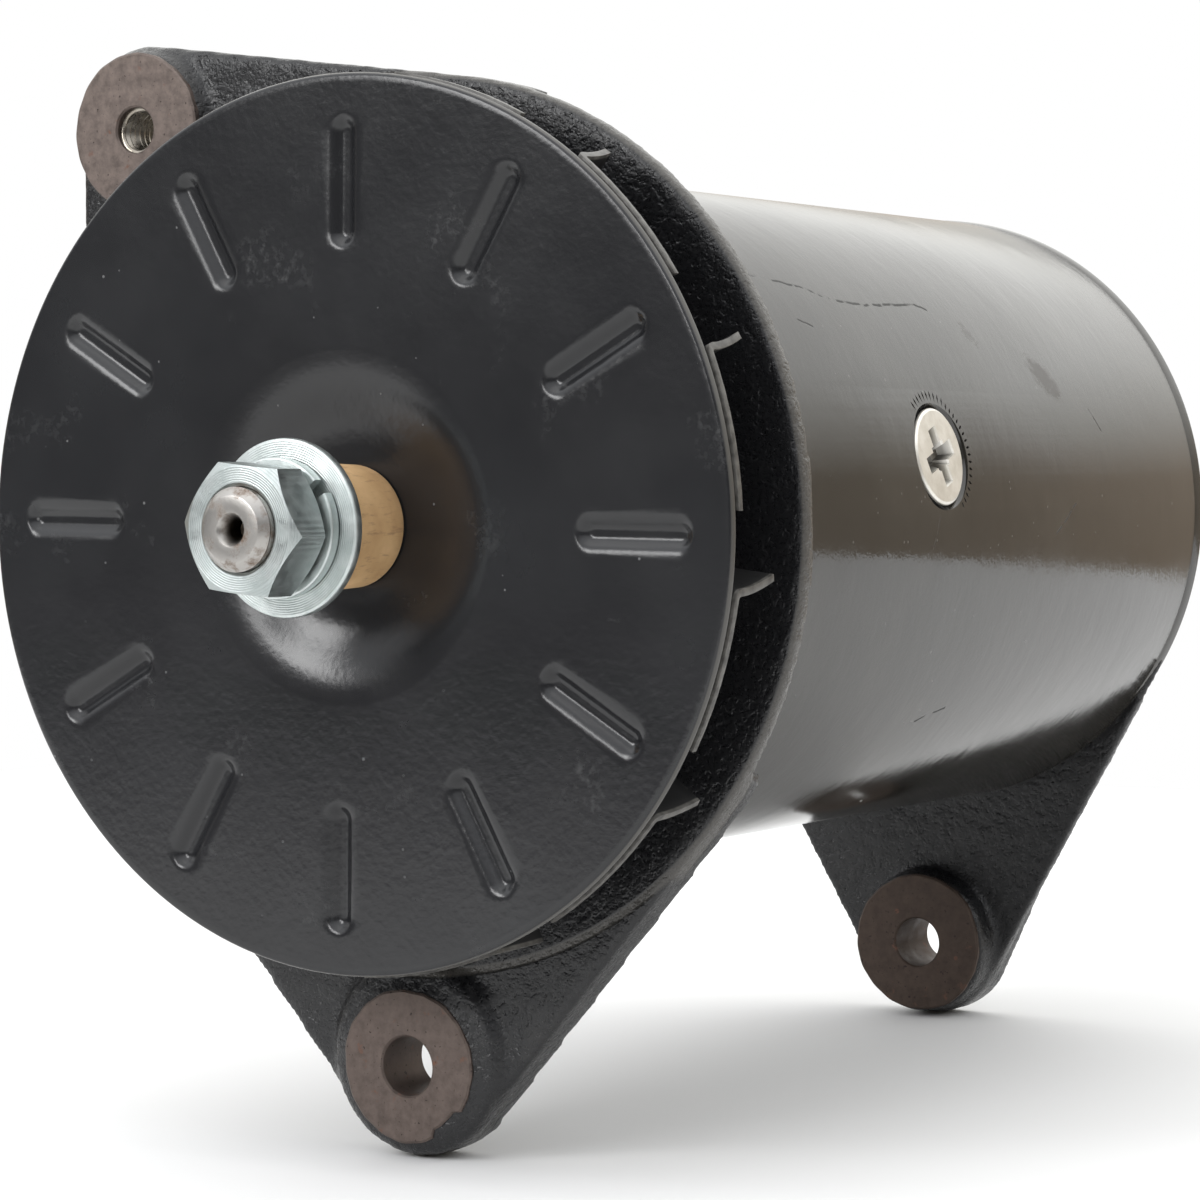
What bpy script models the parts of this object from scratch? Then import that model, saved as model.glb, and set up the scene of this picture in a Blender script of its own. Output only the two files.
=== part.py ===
# Belt-driven direct-current generator, seen from the pulley end.
# Metres, +Z up. The shaft lies along Y and its drive end points to -Y.
# The origin is the pivot bolt's axis, on the machined face of the front lug.

from math import acos, asin, atan2, ceil, cos, hypot, pi, radians, sin

import bmesh
import bpy
from mathutils import Matrix, Vector

# Clearances shared by the whole assembly
FIT = 0.0003
OVERRUN = 0.003
WELD = 0.000001
FLAT = radians(0.2)

# Facets round a full turn
FINE = 48
MEDIUM = 24
COARSE = 12

# Pivot bolt's drop below the shaft
LUG_DROP = 0.0857

# Yoke: the rolled steel body tube
YOKE_RADIUS = 0.05715
YOKE_WALL = 0.00635
YOKE_LENGTH = 0.1744

# Drive end bracket
FLANGE_RADIUS = 0.071
FLANGE_THICKNESS = 0.0035
LUG_THICKNESS = 0.0075
LUG_RADIUS = 0.0148
EAR_RADIUS = 0.0142
EAR_SIDE_SHARE = 0.9394
EAR_HEIGHT_SHARE = 0.9141
BOSS_PROUD = 0.0033
BOSS_RADIUS = 0.0126
BOSS_DRAFT = 0.0012
LUG_HOLE_RADIUS = 0.00475
EAR_HOLE_RADIUS = 0.0035
SPIGOT_DEPTH = 0.004
SPIGOT_WALL = 0.0035
HUB_RADIUS = 0.028
HUB_AHEAD = 0.009
HUB_FRONT_WALL = 0.0025
WEB_THICKNESS = 0.005
WINDOW_INNER = 0.0325
WINDOW_OUTER = 0.0455
WINDOW_COUNT = 4
WINDOW_SPAN = radians(40)
SPOKE_WIDTH = 0.0055
RELIEF_RIGHT = (radians(-33), radians(72))
RELIEF_LEFT = (radians(172), radians(212))

# Commutator end bracket
REAR_RADIUS = 0.0578
REAR_RIM = 0.0028
REAR_COVER_RADIUS = 0.0525
REAR_COVER_THICKNESS = 0.0052
REAR_BOSS_PROUD = 0.006
REAR_BOSS_RADIUS = 0.0136
REAR_HUB_RADIUS = 0.0145
REAR_HUB_AHEAD = 0.0075
REAR_HUB_BEHIND = 0.0142
REAR_HUB_WALL = 0.003
REAR_WINDOW_INNER = 0.0195
REAR_WINDOW_OUTER = 0.033
REAR_WINDOW_SPAN = radians(46)
OIL_HOLE_RADIUS = 0.0015

# Poles and field coils, turned a little from level
POLE_ANGLE = radians(10.3)
POLE_TIP_THICKNESS = 0.0022
POLE_BODY_HALF = radians(21)
POLE_TIP_HALF = radians(55)
AIR_GAP = 0.0006
COIL_WIDTH = 0.0155
COIL_HEIGHT = 0.0095
COIL_CORNER = 0.0004
SCREW_HEAD_RADIUS = 0.0083
SCREW_HEAD_DEPTH = 0.004
SCREW_SHANK_RADIUS = 0.005
SCREW_LENGTH = 0.0155
SCREW_RECESS = 0.0022
SCREW_SLOT = 0.0021
SCREW_SLOT_LENGTH = 0.0098
COUNTERSINK_MARGIN = 0.0011

# Armature
CORE_RADIUS = 0.034
CORE_SLOTS = 24
SLOT_WIDTH = 0.0024
SLOT_DEPTH = 0.0032
FRONT_WINDING = 0.0135
REAR_WINDING = 0.0115
WINDING_RADIUS = 0.0315
WINDING_CLEAR = 0.0063
WINDING_TAPER = 0.0055
COMMUTATOR_RADIUS = 0.021
COMMUTATOR_LENGTH = 0.027
COMMUTATOR_CLEAR = 0.0217
RISER_RADIUS = 0.0245
RISER_LENGTH = 0.0035
BAR_GAP = 0.0009
BAR_UNDERCUT = 0.001

# Shaft
BEARING_SEAT_RADIUS = 0.0085
CORE_SEAT_RADIUS = 0.0095
PULLEY_SEAT_RADIUS = 0.0079
THREAD_RADIUS = 0.00635
THREAD_LENGTH = 0.0168
REAR_JOURNAL_RADIUS = 0.0075
SHAFT_PROUD = 0.0019
SHAFT_CHAMFER = 0.0011
CENTRE_HOLE_RADIUS = 0.0022
CENTRE_HOLE_DEPTH = 0.005
SHAFT_END_GAP = 0.0012
CIRCLIP_RADIUS = 0.0112
CIRCLIP_THICKNESS = 0.0012

# Woodruff key under the pulley
KEY_ANGLE = radians(170)
KEY_RADIUS = 0.0065
KEY_WIDTH = 0.0032
KEY_PROUD = 0.0016
KEY_DEEP = 0.0026
KEY_FROM_FAN = 0.0075

# Nose stack: spacer tube, washers, nut
SPACER_LENGTH = 0.0158
SPACER_WALL = 0.0014
SPACER_BUMP_HALF = radians(50)
WASHER_RADIUS = 0.0136
WASHER_THICKNESS = 0.0018
SPRING_WASHER_RADIUS = 0.0107
SPRING_WASHER_THICKNESS = 0.0019
SPRING_WASHER_RISE = 0.0005
SPRING_WASHER_START = radians(36)
SPRING_WASHER_GAP = radians(13)
NUT_FLATS = 0.01905
NUT_THICKNESS = 0.008
NUT_CHAMFER = 0.0012
NUT_TURN = radians(-6)

# Fan: front disc and vane plate
FAN_RADIUS = 0.0695
FAN_AHEAD = 0.0159
FAN_SHEET = 0.0013
FAN_RIM_ROUND = 0.0005
DISH_DEPTH = 0.0035
DISH_OUTER = 0.0275
DISH_INNER = 0.0155
RIB_COUNT = 12
RIB_TURN = radians(-1.2)
RIB_INNER = 0.0424
RIB_OUTER = 0.0634
RIB_TOP_HALF = 0.0029
RIB_FLOOR_HALF = 0.001
RIB_DEPTH = 0.0013
RIB_WALL = 0.0011
VANE_SHEET = 0.0012
VANE_PROUD = 0.0005
VANE_PLATE_INNER = 0.032
VANE_INNER = 0.0405
VANE_DEPTH = 0.0098
VANE_LEAN = 0.0022
VANE_NOTCH = 0.0113
VANE_ANGLE = radians(22.5)
VANE_BENDS = 3

# Drive end bearing and its retainers
BEARING_RADIUS = 0.020
BEARING_WIDTH = 0.012
BEARING_BEHIND_HUB = 0.0057
BALL_RADIUS = 0.0034
BALL_COUNT = 8
RACE_LAND = 0.0029
RACE_GROOVE = 0.0009
CAGE_WIDTH = 0.0052
CAGE_THICKNESS = 0.0014
COLLAR_RADIUS = 0.011
FELT_RADIUS = 0.0155
RETAINER_THICKNESS = 0.0018
RETAINER_INNER = 0.0155
RETAINER_SCREWS = 3
RETAINER_SCREW_CIRCLE = 0.0241
RETAINER_SCREW_RADIUS = 0.0016
RETAINER_SCREW_HEAD = 0.0031
RETAINER_SCREW_HEAD_HEIGHT = 0.0018
RETAINER_SCREW_LENGTH = 0.007

# Rear bush
BUSH_WALL = 0.003
BUSH_LENGTH = 0.016

# Brush gear, at right angles to the poles
BRUSH_ANGLES = (POLE_ANGLE + pi / 2, POLE_ANGLE + 3 * pi / 2)
BRUSH_WIDTH = 0.008
BRUSH_BREADTH = 0.016
BRUSH_LENGTH = 0.018
HOLDER_WALL = 0.0015
HOLDER_BASE = 0.0045
HOLDER_HEIGHT = 0.0105
HOLDER_LEG_WIDTH = 0.012
HOLDER_LEG_THICKNESS = 0.002
HOLDER_FOOT_LENGTH = 0.009
POST_REACH = 0.017
POST_HEIGHT = 0.0375
POST_RADIUS = 0.0016
ARM_HUB_RADIUS = 0.0038
ARM_HUB_LENGTH = 0.0112
ARM_THICKNESS = 0.0013
ARM_WIDTH = 0.0044
ARM_FOOT_HEIGHT = 0.0019
ARM_FOOT_WIDTH = 0.0016
INSULATOR_THICKNESS = 0.0012

# Through bolts
BOLT_CIRCLE = 0.0462
BOLT_TURN = radians(-18)
BOLT_RADIUS = 0.0025
BOLT_HEAD_RADIUS = 0.0047
BOLT_HEAD_HEIGHT = 0.004
BOLT_SLOT = 0.0011
BOLT_SLOT_DEPTH = 0.0014
BOLT_FRONT_COVER = 0.002
BOLT_BOSS_RADIUS = 0.0039

# Terminals on the commutator end bracket
TERMINAL_ANGLES = (radians(58), radians(136))
TERMINAL_CIRCLE = 0.0415
TERMINAL_RADII = (0.003, 0.0024)
TERMINAL_LENGTH = 0.0185
TERMINAL_HEAD_HEIGHT = 0.002
TERMINAL_SHOULDER = 0.0022
BUSHING_WALL = 0.0013
BUSHING_FLANGE = 0.0033
BUSHING_FLANGE_THICKNESS = 0.0018
BUSHING_PROUD = 0.001
TERMINAL_NUT_SHOULDER = 0.0051
TERMINAL_NUT_THICKNESS = 0.0032

# Stations along the shaft, worked out from the sizes above
PLATE_FRONT = BOSS_PROUD
YOKE_SEAT = PLATE_FRONT + FLANGE_THICKNESS
YOKE_FRONT = YOKE_SEAT + FIT
YOKE_REAR = YOKE_FRONT + YOKE_LENGTH
REAR_FRONT = YOKE_REAR + FIT
REAR_BOSS_FACE = REAR_FRONT - REAR_BOSS_PROUD
COVER_REAR = REAR_FRONT + REAR_COVER_THICKNESS
HUB_FRONT = PLATE_FRONT - HUB_AHEAD - BOSS_PROUD
BEARING_FRONT = HUB_FRONT + BEARING_BEHIND_HUB
BEARING_REAR = BEARING_FRONT + BEARING_WIDTH
HUB_REAR = BEARING_REAR
FAN_FACE = -FAN_AHEAD
DISH_FACE = FAN_FACE + DISH_DEPTH
DISH_BACK = DISH_FACE + FAN_SHEET
SPACER_FRONT = DISH_FACE - FIT - SPACER_LENGTH
WASHER_FRONT = SPACER_FRONT - FIT - WASHER_THICKNESS
SPRING_REAR = WASHER_FRONT - FIT
SPRING_FRONT = SPRING_REAR - SPRING_WASHER_THICKNESS - SPRING_WASHER_RISE
NUT_REAR = SPRING_FRONT - FIT
NUT_FRONT = NUT_REAR - NUT_THICKNESS
SHAFT_FRONT = NUT_FRONT - SHAFT_PROUD
RETAINER_TOP = BEARING_REAR + FIT + RETAINER_THICKNESS + FIT + RETAINER_SCREW_HEAD_HEIGHT
CORE_FRONT = RETAINER_TOP + WINDING_CLEAR + FRONT_WINDING + FIT
COMMUTATOR_REAR = REAR_FRONT - COMMUTATOR_CLEAR
COMMUTATOR_FRONT = COMMUTATOR_REAR - COMMUTATOR_LENGTH
CORE_REAR = COMMUTATOR_FRONT - FIT - REAR_WINDING - FIT
POLE_LENGTH = CORE_REAR - CORE_FRONT
POLE_CENTRE = (CORE_FRONT + CORE_REAR) / 2
HUB_INNER_END = REAR_FRONT + REAR_HUB_BEHIND - REAR_HUB_WALL
SHAFT_REAR = HUB_INNER_END - SHAFT_END_GAP
BRUSH_CENTRE = COMMUTATOR_FRONT + RISER_LENGTH + (COMMUTATOR_LENGTH - RISER_LENGTH) / 2
YOKE_BORE = YOKE_RADIUS - YOKE_WALL
SPIGOT_RADIUS = YOKE_BORE - FIT
POLE_OUTER = YOKE_BORE - FIT
POLE_INNER = CORE_RADIUS + AIR_GAP
LUG_REAR = PLATE_FRONT + LUG_THICKNESS
EAR_X = EAR_RADIUS - FLANGE_RADIUS * EAR_SIDE_SHARE
EAR_Z = FLANGE_RADIUS * EAR_HEIGHT_SHARE
VANE_PLATE_RADIUS = FAN_RADIUS + VANE_PROUD


def material(name, colour, roughness, metallic):
    """A plain surface finish."""
    finish = bpy.data.materials.new(name)
    finish.use_nodes = True
    shader = finish.node_tree.nodes["Principled BSDF"]
    shader.inputs["Base Color"].default_value = (*colour, 1)
    shader.inputs["Roughness"].default_value = roughness
    shader.inputs["Metallic"].default_value = metallic
    return finish


def polar(radius, angle):
    return (radius * cos(angle), radius * sin(angle))


def arc(centre, radius, start, end, full=FINE):
    """Points on an arc, both ends included, as dense as a circle of that many facets."""
    steps = max(1, ceil(abs(end - start) / (2 * pi) * full))
    turns = [start + (end - start) * i / steps for i in range(steps + 1)]
    return [(centre[0] + radius * cos(t), centre[1] + radius * sin(t)) for t in turns]


def circle(centre, radius, full=MEDIUM):
    return arc(centre, radius, 0, 2 * pi, full)[:-1]


def holed_at(points, turn):
    """The same outline turned about the shaft axis."""
    return [(x * cos(turn) - z * sin(turn), x * sin(turn) + z * cos(turn)) for x, z in points]


def add_outline(bm, points, y):
    """A closed loop of edges across the shaft."""
    corners = [bm.verts.new((x, y, z)) for x, z in points]
    return [bm.edges.new((corners[i - 1], corners[i])) for i in range(len(corners))]


def add_slab(bm, outline, holes, front, rear):
    """An outline with holes, filled and extruded along the shaft."""
    if holes:
        edges = add_outline(bm, outline, front)
        for hole in holes:
            edges += add_outline(bm, hole, front)
        filled = bmesh.ops.triangle_fill(bm, edges=edges, use_beauty=True, use_dissolve=False)
        faces = [g for g in filled["geom"] if isinstance(g, bmesh.types.BMFace)]
    else:
        faces = [bm.faces.new([bm.verts.new((x, front, z)) for x, z in outline])]
    moved = bmesh.ops.extrude_face_region(bm, geom=faces, use_keep_orig=True)
    corners = [g for g in moved["geom"] if isinstance(g, bmesh.types.BMVert)]
    bmesh.ops.translate(bm, verts=corners, vec=(0, rear - front, 0))
    return corners


def add_turned(bm, profile, steps, centre=(0, 0)):
    """A profile of (radius, y) points spun about an axis along Y. It closes on itself, or on the axis."""
    corners = [bm.verts.new((centre[0] + r, y, centre[1])) for r, y in profile]
    pairs = list(zip(corners, corners[1:]))
    if profile[0][0] > 0:
        pairs.append((corners[-1], corners[0]))
    edges = [bm.edges.new(pair) for pair in pairs]
    pivot = (centre[0], 0, centre[1])
    bmesh.ops.spin(
        bm, geom=corners + edges, cent=pivot, axis=(0, 1, 0), angle=2 * pi, steps=steps, use_merge=True
    )


def finish_mesh(bm):
    bmesh.ops.remove_doubles(bm, verts=bm.verts, dist=WELD)
    bmesh.ops.dissolve_degenerate(bm, edges=bm.edges, dist=WELD)
    bmesh.ops.recalc_face_normals(bm, faces=bm.faces)
    bmesh.ops.dissolve_limit(bm, angle_limit=FLAT, verts=bm.verts, edges=bm.edges)


def place(name, bm, finish, parent, location=(0, 0, 0), rotation=(0, 0, 0)):
    """Makes an object of the mesh and hangs it on its axis."""
    finish_mesh(bm)
    mesh = bpy.data.meshes.new(name)
    bm.to_mesh(mesh)
    bm.free()
    mesh.shade_smooth()
    mesh.set_sharp_from_angle(angle=radians(35))
    piece = bpy.data.objects.new(name, mesh)
    bpy.context.scene.collection.objects.link(piece)
    piece.parent = parent
    piece.location = location
    piece.rotation_euler = rotation
    if finish:
        mesh.materials.append(finish)
    return piece


def combine(piece, other, operation):
    """Adds or removes a helper shape, which stays out of the part."""
    other.hide_render = True
    other.display_type = "WIRE"
    step = piece.modifiers.new(other.name, "BOOLEAN")
    step.operation = operation
    step.object = other
    return piece


def merge_flats(piece):
    """Puts the split flat faces that the Booleans leave back together."""
    step = piece.modifiers.new("flats", "DECIMATE")
    step.decimate_type = "DISSOLVE"
    step.angle_limit = FLAT
    return piece


def cut(piece, bm, name):
    return combine(piece, place(name, bm, None, piece.parent), "DIFFERENCE")


def join(piece, bm, name):
    return combine(piece, place(name, bm, None, piece.parent), "UNION")


def kidney(inner, outer, middle, span, full=MEDIUM):
    """A slot that follows the shaft, with round ends."""
    half = (outer - inner) / 2
    mean = (outer + inner) / 2
    a, b = middle - span / 2, middle + span / 2
    return (
        arc((0, 0), outer, a, b, full)
        + arc(polar(mean, b), half, b, b + pi, COARSE)[1:-1]
        + arc((0, 0), inner, b, a, full)
        + arc(polar(mean, a), half, a + pi, a + 2 * pi, COARSE)[1:-1]
    )


def sector(inner, outer, start, end):
    """An annular sector with square ends."""
    return arc((0, 0), outer, start, end) + arc((0, 0), inner, end, start)


def tangent_half_angle(radius, end_radius, distance):
    """How far from a lug's direction its straight edges leave the main circle."""
    return acos((radius - end_radius) / distance)


def hexagon(flats, turn=0):
    corner = flats / 2 / cos(pi / 6)
    return [polar(corner, turn + i * pi / 3) for i in range(6)]


def block(bm, centre, size, turn=Matrix.Identity(4)):
    """A box with its own turn."""
    scale = Matrix.Diagonal((*size, 1))
    bmesh.ops.create_cube(bm, size=1, matrix=turn @ Matrix.Translation(centre) @ scale)


def front_bracket_outline():
    """Flange circle, lower lug with tangent sides, and the adjusting ear at the upper left."""
    lug = tangent_half_angle(FLANGE_RADIUS, LUG_RADIUS, LUG_DROP)
    ear_turn = atan2(EAR_Z, EAR_X)
    ear = tangent_half_angle(FLANGE_RADIUS, EAR_RADIUS, hypot(EAR_X, EAR_Z))
    down = -pi / 2
    ear_side = EAR_X - EAR_RADIUS
    meets = pi - acos(-ear_side / FLANGE_RADIUS)
    return (
        arc((0, 0), FLANGE_RADIUS, down + lug, ear_turn - ear)
        + arc((EAR_X, EAR_Z), EAR_RADIUS, ear_turn - ear, pi, MEDIUM)
        + arc((0, 0), FLANGE_RADIUS, meets, 2 * pi + down - lug)
        + arc((0, -LUG_DROP), LUG_RADIUS, 2 * pi + down - lug, 2 * pi + down + lug, MEDIUM)
    )


def rear_bracket_outline():
    """Round cover with one lower lug."""
    lug = tangent_half_angle(REAR_RADIUS, LUG_RADIUS, LUG_DROP)
    down = 3 * pi / 2
    return arc((0, 0), REAR_RADIUS, down + lug - 2 * pi, down - lug) + arc(
        (0, -LUG_DROP), LUG_RADIUS, down - lug, down + lug, MEDIUM
    )


def add_boss(bm, centre, radius, face, root):
    """A machined pad whose cast side spreads towards the plate."""
    profile = [(0, face), (radius, face), (radius + BOSS_DRAFT, root), (0, root)]
    add_turned(bm, profile, MEDIUM, centre)


def add_rod(bm, centre, radius, front, rear, steps=COARSE):
    add_turned(bm, [(0, front), (radius, front), (radius, rear), (0, rear)], steps, centre)


def bolt_places():
    return [polar(BOLT_CIRCLE, angle + BOLT_TURN) for angle in BRUSH_ANGLES]


def retainer_places():
    step = 2 * pi / RETAINER_SCREWS
    return [polar(RETAINER_SCREW_CIRCLE, pi / 2 + i * step) for i in range(RETAINER_SCREWS)]


def make_drive_end_bracket(housing, iron):
    bm = bmesh.new()
    add_slab(bm, front_bracket_outline(), [], PLATE_FRONT, LUG_REAR)
    bracket = place("drive_end_bracket", bm, iron, housing)

    bosses = bmesh.new()
    root = PLATE_FRONT + FLANGE_THICKNESS / 2
    add_boss(bosses, (0, -LUG_DROP), BOSS_RADIUS, 0, root)
    add_boss(bosses, (EAR_X, EAR_Z), BOSS_RADIUS, 0, root)
    add_rod(bosses, (0, 0), HUB_RADIUS, HUB_FRONT, HUB_REAR, MEDIUM)
    join(bracket, bosses, "bracket_bosses")

    spokes = bmesh.new()
    inside = HUB_RADIUS - OVERRUN
    outside = WINDOW_OUTER
    rise = HUB_FRONT + HUB_FRONT_WALL
    sunk = PLATE_FRONT + WEB_THICKNESS / 2
    half = SPOKE_WIDTH / 2
    for i in range(WINDOW_COUNT):
        rib = bmesh.new()
        side = [(inside, rise), (HUB_RADIUS, rise), (outside, PLATE_FRONT - FIT)]
        side += [(outside, sunk), (inside, sunk)]
        corners = [rib.verts.new((r, y, -half)) for r, y in side]
        face = rib.faces.new(corners)
        moved = bmesh.ops.extrude_face_region(rib, geom=[face], use_keep_orig=True)
        far = [g for g in moved["geom"] if isinstance(g, bmesh.types.BMVert)]
        bmesh.ops.translate(rib, verts=far, vec=(0, 0, SPOKE_WIDTH))
        turn = Matrix.Rotation(i * 2 * pi / WINDOW_COUNT, 4, "Y")
        bmesh.ops.transform(rib, matrix=turn, verts=rib.verts)
        finish_mesh(rib)
        holder = bpy.data.meshes.new("spoke")
        rib.to_mesh(holder)
        rib.free()
        spokes.from_mesh(holder)
        bpy.data.meshes.remove(holder)
    join(bracket, spokes, "bracket_spokes")

    past = LUG_REAR + OVERRUN
    web = PLATE_FRONT + WEB_THICKNESS
    well = bmesh.new()
    inner = SPIGOT_RADIUS - SPIGOT_WALL
    rim = [(0, HUB_REAR), (HUB_RADIUS, HUB_REAR), (HUB_RADIUS, web), (inner, web), (inner, past), (0, past)]
    add_turned(well, rim, FINE)
    cut(bracket, well, "bracket_well")
    posts = bmesh.new()
    for spot in bolt_places():
        add_rod(posts, spot, BOLT_BOSS_RADIUS, web - WEB_THICKNESS / 2, LUG_REAR)
    join(bracket, posts, "bracket_bolt_bosses")
    seat = bmesh.new()
    around = YOKE_RADIUS + FIT
    add_slab(seat, circle((0, 0), around, FINE), [circle((0, 0), SPIGOT_RADIUS, FINE)], YOKE_SEAT, past)
    cut(bracket, seat, "bracket_yoke_seat")
    sides = bmesh.new()
    beyond = FLANGE_RADIUS + OVERRUN
    for start, end in (RELIEF_RIGHT, RELIEF_LEFT):
        add_slab(sides, sector(around - FIT, beyond, start, end), [], YOKE_SEAT, past)
    cut(bracket, sides, "bracket_side_reliefs")

    bores = bmesh.new()
    race = BEARING_RADIUS + FIT
    felt = FELT_RADIUS + FIT
    collar = COLLAR_RADIUS + FIT + FIT
    step = HUB_FRONT + HUB_FRONT_WALL
    profile = [
        (0, HUB_FRONT - OVERRUN),
        (collar, HUB_FRONT - OVERRUN),
        (collar, step),
        (felt, step),
        (felt, BEARING_FRONT - FIT),
        (race, BEARING_FRONT - FIT),
        (race, past),
        (0, past),
    ]
    add_turned(bores, profile, MEDIUM)
    for spot in retainer_places():
        reach = HUB_REAR - RETAINER_SCREW_LENGTH
        add_rod(bores, spot, RETAINER_SCREW_RADIUS + FIT, reach, HUB_REAR + OVERRUN, COARSE // 2)
    for spot in bolt_places():
        add_rod(bores, spot, BOLT_RADIUS + FIT, PLATE_FRONT + BOLT_FRONT_COVER, past)
    add_rod(bores, (0, -LUG_DROP), LUG_HOLE_RADIUS, -OVERRUN, past, MEDIUM)
    add_rod(bores, (EAR_X, EAR_Z), EAR_HOLE_RADIUS, -OVERRUN, past, COARSE)
    for i in range(WINDOW_COUNT):
        middle = (i + 1 / 2) * 2 * pi / WINDOW_COUNT
        window = kidney(WINDOW_INNER, WINDOW_OUTER, middle, WINDOW_SPAN)
        add_slab(bores, window, [], PLATE_FRONT - OVERRUN, past)
    cut(bracket, bores, "bracket_bores")
    merge_flats(bracket)
    return bracket


def make_rear_bracket(housing, iron):
    lug_rear = REAR_FRONT + LUG_THICKNESS
    bm = bmesh.new()
    add_slab(bm, rear_bracket_outline(), [], REAR_FRONT, lug_rear)
    bracket = place("commutator_end_bracket", bm, iron, housing)

    added = bmesh.new()
    root = REAR_FRONT + REAR_RIM
    add_boss(added, (0, -LUG_DROP), REAR_BOSS_RADIUS, REAR_BOSS_FACE, root)
    hub_front = REAR_FRONT - REAR_HUB_AHEAD
    hub_rear = REAR_FRONT + REAR_HUB_BEHIND
    add_rod(added, (0, 0), REAR_HUB_RADIUS, hub_front, hub_rear, MEDIUM)
    join(bracket, added, "rear_bosses")
    spigot = bmesh.new()
    ring = [
        (SPIGOT_RADIUS - SPIGOT_WALL, REAR_FRONT - SPIGOT_DEPTH),
        (SPIGOT_RADIUS, REAR_FRONT - SPIGOT_DEPTH),
        (SPIGOT_RADIUS, root),
        (SPIGOT_RADIUS - SPIGOT_WALL, root),
    ]
    add_turned(spigot, ring, FINE)
    join(bracket, spigot, "rear_spigot")

    relief = bmesh.new()
    lug = tangent_half_angle(REAR_RADIUS, LUG_RADIUS, LUG_DROP)
    down = 3 * pi / 2
    past = lug_rear + OVERRUN
    beyond = REAR_RADIUS + OVERRUN
    side = sector(REAR_COVER_RADIUS, beyond, down + lug - 2 * pi, down - lug)
    add_slab(relief, side, [], REAR_FRONT + REAR_RIM, past)
    cut(bracket, relief, "rear_rim_relief")
    face = bmesh.new()
    ring = [
        (REAR_HUB_RADIUS, COVER_REAR),
        (REAR_COVER_RADIUS + FIT, COVER_REAR),
        (REAR_COVER_RADIUS + FIT, past),
        (REAR_HUB_RADIUS, past),
    ]
    add_turned(face, ring, FINE)
    cut(bracket, face, "rear_cover_face")

    bores = bmesh.new()
    bush = REAR_JOURNAL_RADIUS + FIT + BUSH_WALL + FIT
    stepped = [
        (0, hub_front - OVERRUN),
        (bush, hub_front - OVERRUN),
        (bush, HUB_INNER_END),
        (OIL_HOLE_RADIUS, HUB_INNER_END),
        (OIL_HOLE_RADIUS, hub_rear + OVERRUN),
        (0, hub_rear + OVERRUN),
    ]
    add_turned(bores, stepped, MEDIUM)
    add_rod(bores, (0, -LUG_DROP), LUG_HOLE_RADIUS, REAR_BOSS_FACE - OVERRUN, past, MEDIUM)
    for place_of in bolt_places():
        add_rod(bores, place_of, BOLT_RADIUS + FIT, REAR_FRONT - SPIGOT_DEPTH - OVERRUN, past)
    for angle, radius in zip(TERMINAL_ANGLES, TERMINAL_RADII):
        hole = radius + FIT + BUSHING_WALL + FIT
        add_rod(bores, polar(TERMINAL_CIRCLE, angle), hole, REAR_FRONT - OVERRUN, past)
    for turn in (0, pi):
        window = kidney(REAR_WINDOW_INNER, REAR_WINDOW_OUTER, POLE_ANGLE + turn, REAR_WINDOW_SPAN)
        add_slab(bores, window, [], REAR_FRONT - OVERRUN, past)
    cut(bracket, bores, "rear_bores")
    merge_flats(bracket)
    return bracket


def outward(turn):
    """Turns a shape made along +Z to point outwards at an angle about the shaft."""
    return Matrix.Rotation(pi / 2 - turn, 4, "Y")


def add_countersunk(bm, head, depth, shank, length, radius, turn, y, steps=MEDIUM):
    """A countersunk shape whose top lies on a cylinder, pointing inwards."""
    top = radius
    profile = [(0, top), (head, top), (shank, top - depth), (shank, top - length), (0, top - length)]
    corners = [bm.verts.new((r, 0, h)) for r, h in profile]
    edges = [bm.edges.new(pair) for pair in zip(corners, corners[1:])]
    bmesh.ops.spin(
        bm, geom=corners + edges, cent=(0, 0, 0), axis=(0, 0, 1), angle=2 * pi, steps=steps, use_merge=True
    )
    bmesh.ops.remove_doubles(bm, verts=bm.verts, dist=WELD)
    bmesh.ops.transform(bm, matrix=Matrix.Translation((0, y, 0)) @ outward(turn), verts=bm.verts)


def make_yoke(housing, steel):
    bm = bmesh.new()
    profile = [
        (YOKE_BORE, YOKE_FRONT),
        (YOKE_RADIUS, YOKE_FRONT),
        (YOKE_RADIUS, YOKE_REAR),
        (YOKE_BORE, YOKE_REAR),
    ]
    add_turned(bm, profile, FINE)
    yoke = place("yoke", bm, steel, housing)
    for number, turn in enumerate((POLE_ANGLE, POLE_ANGLE + pi)):
        hole = bmesh.new()
        head = SCREW_HEAD_RADIUS + COUNTERSINK_MARGIN
        rise = OVERRUN / SCREW_HEAD_DEPTH * (SCREW_HEAD_RADIUS - SCREW_SHANK_RADIUS)
        depth = SCREW_HEAD_DEPTH + FIT + OVERRUN
        shank = SCREW_SHANK_RADIUS + COUNTERSINK_MARGIN / 2
        length = YOKE_WALL + OVERRUN + OVERRUN
        add_countersunk(hole, head + rise, depth, shank, length, YOKE_RADIUS + OVERRUN, turn, POLE_CENTRE)
        cut(yoke, hole, f"yoke_pole_hole_{number + 1}")
    return merge_flats(yoke)


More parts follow.
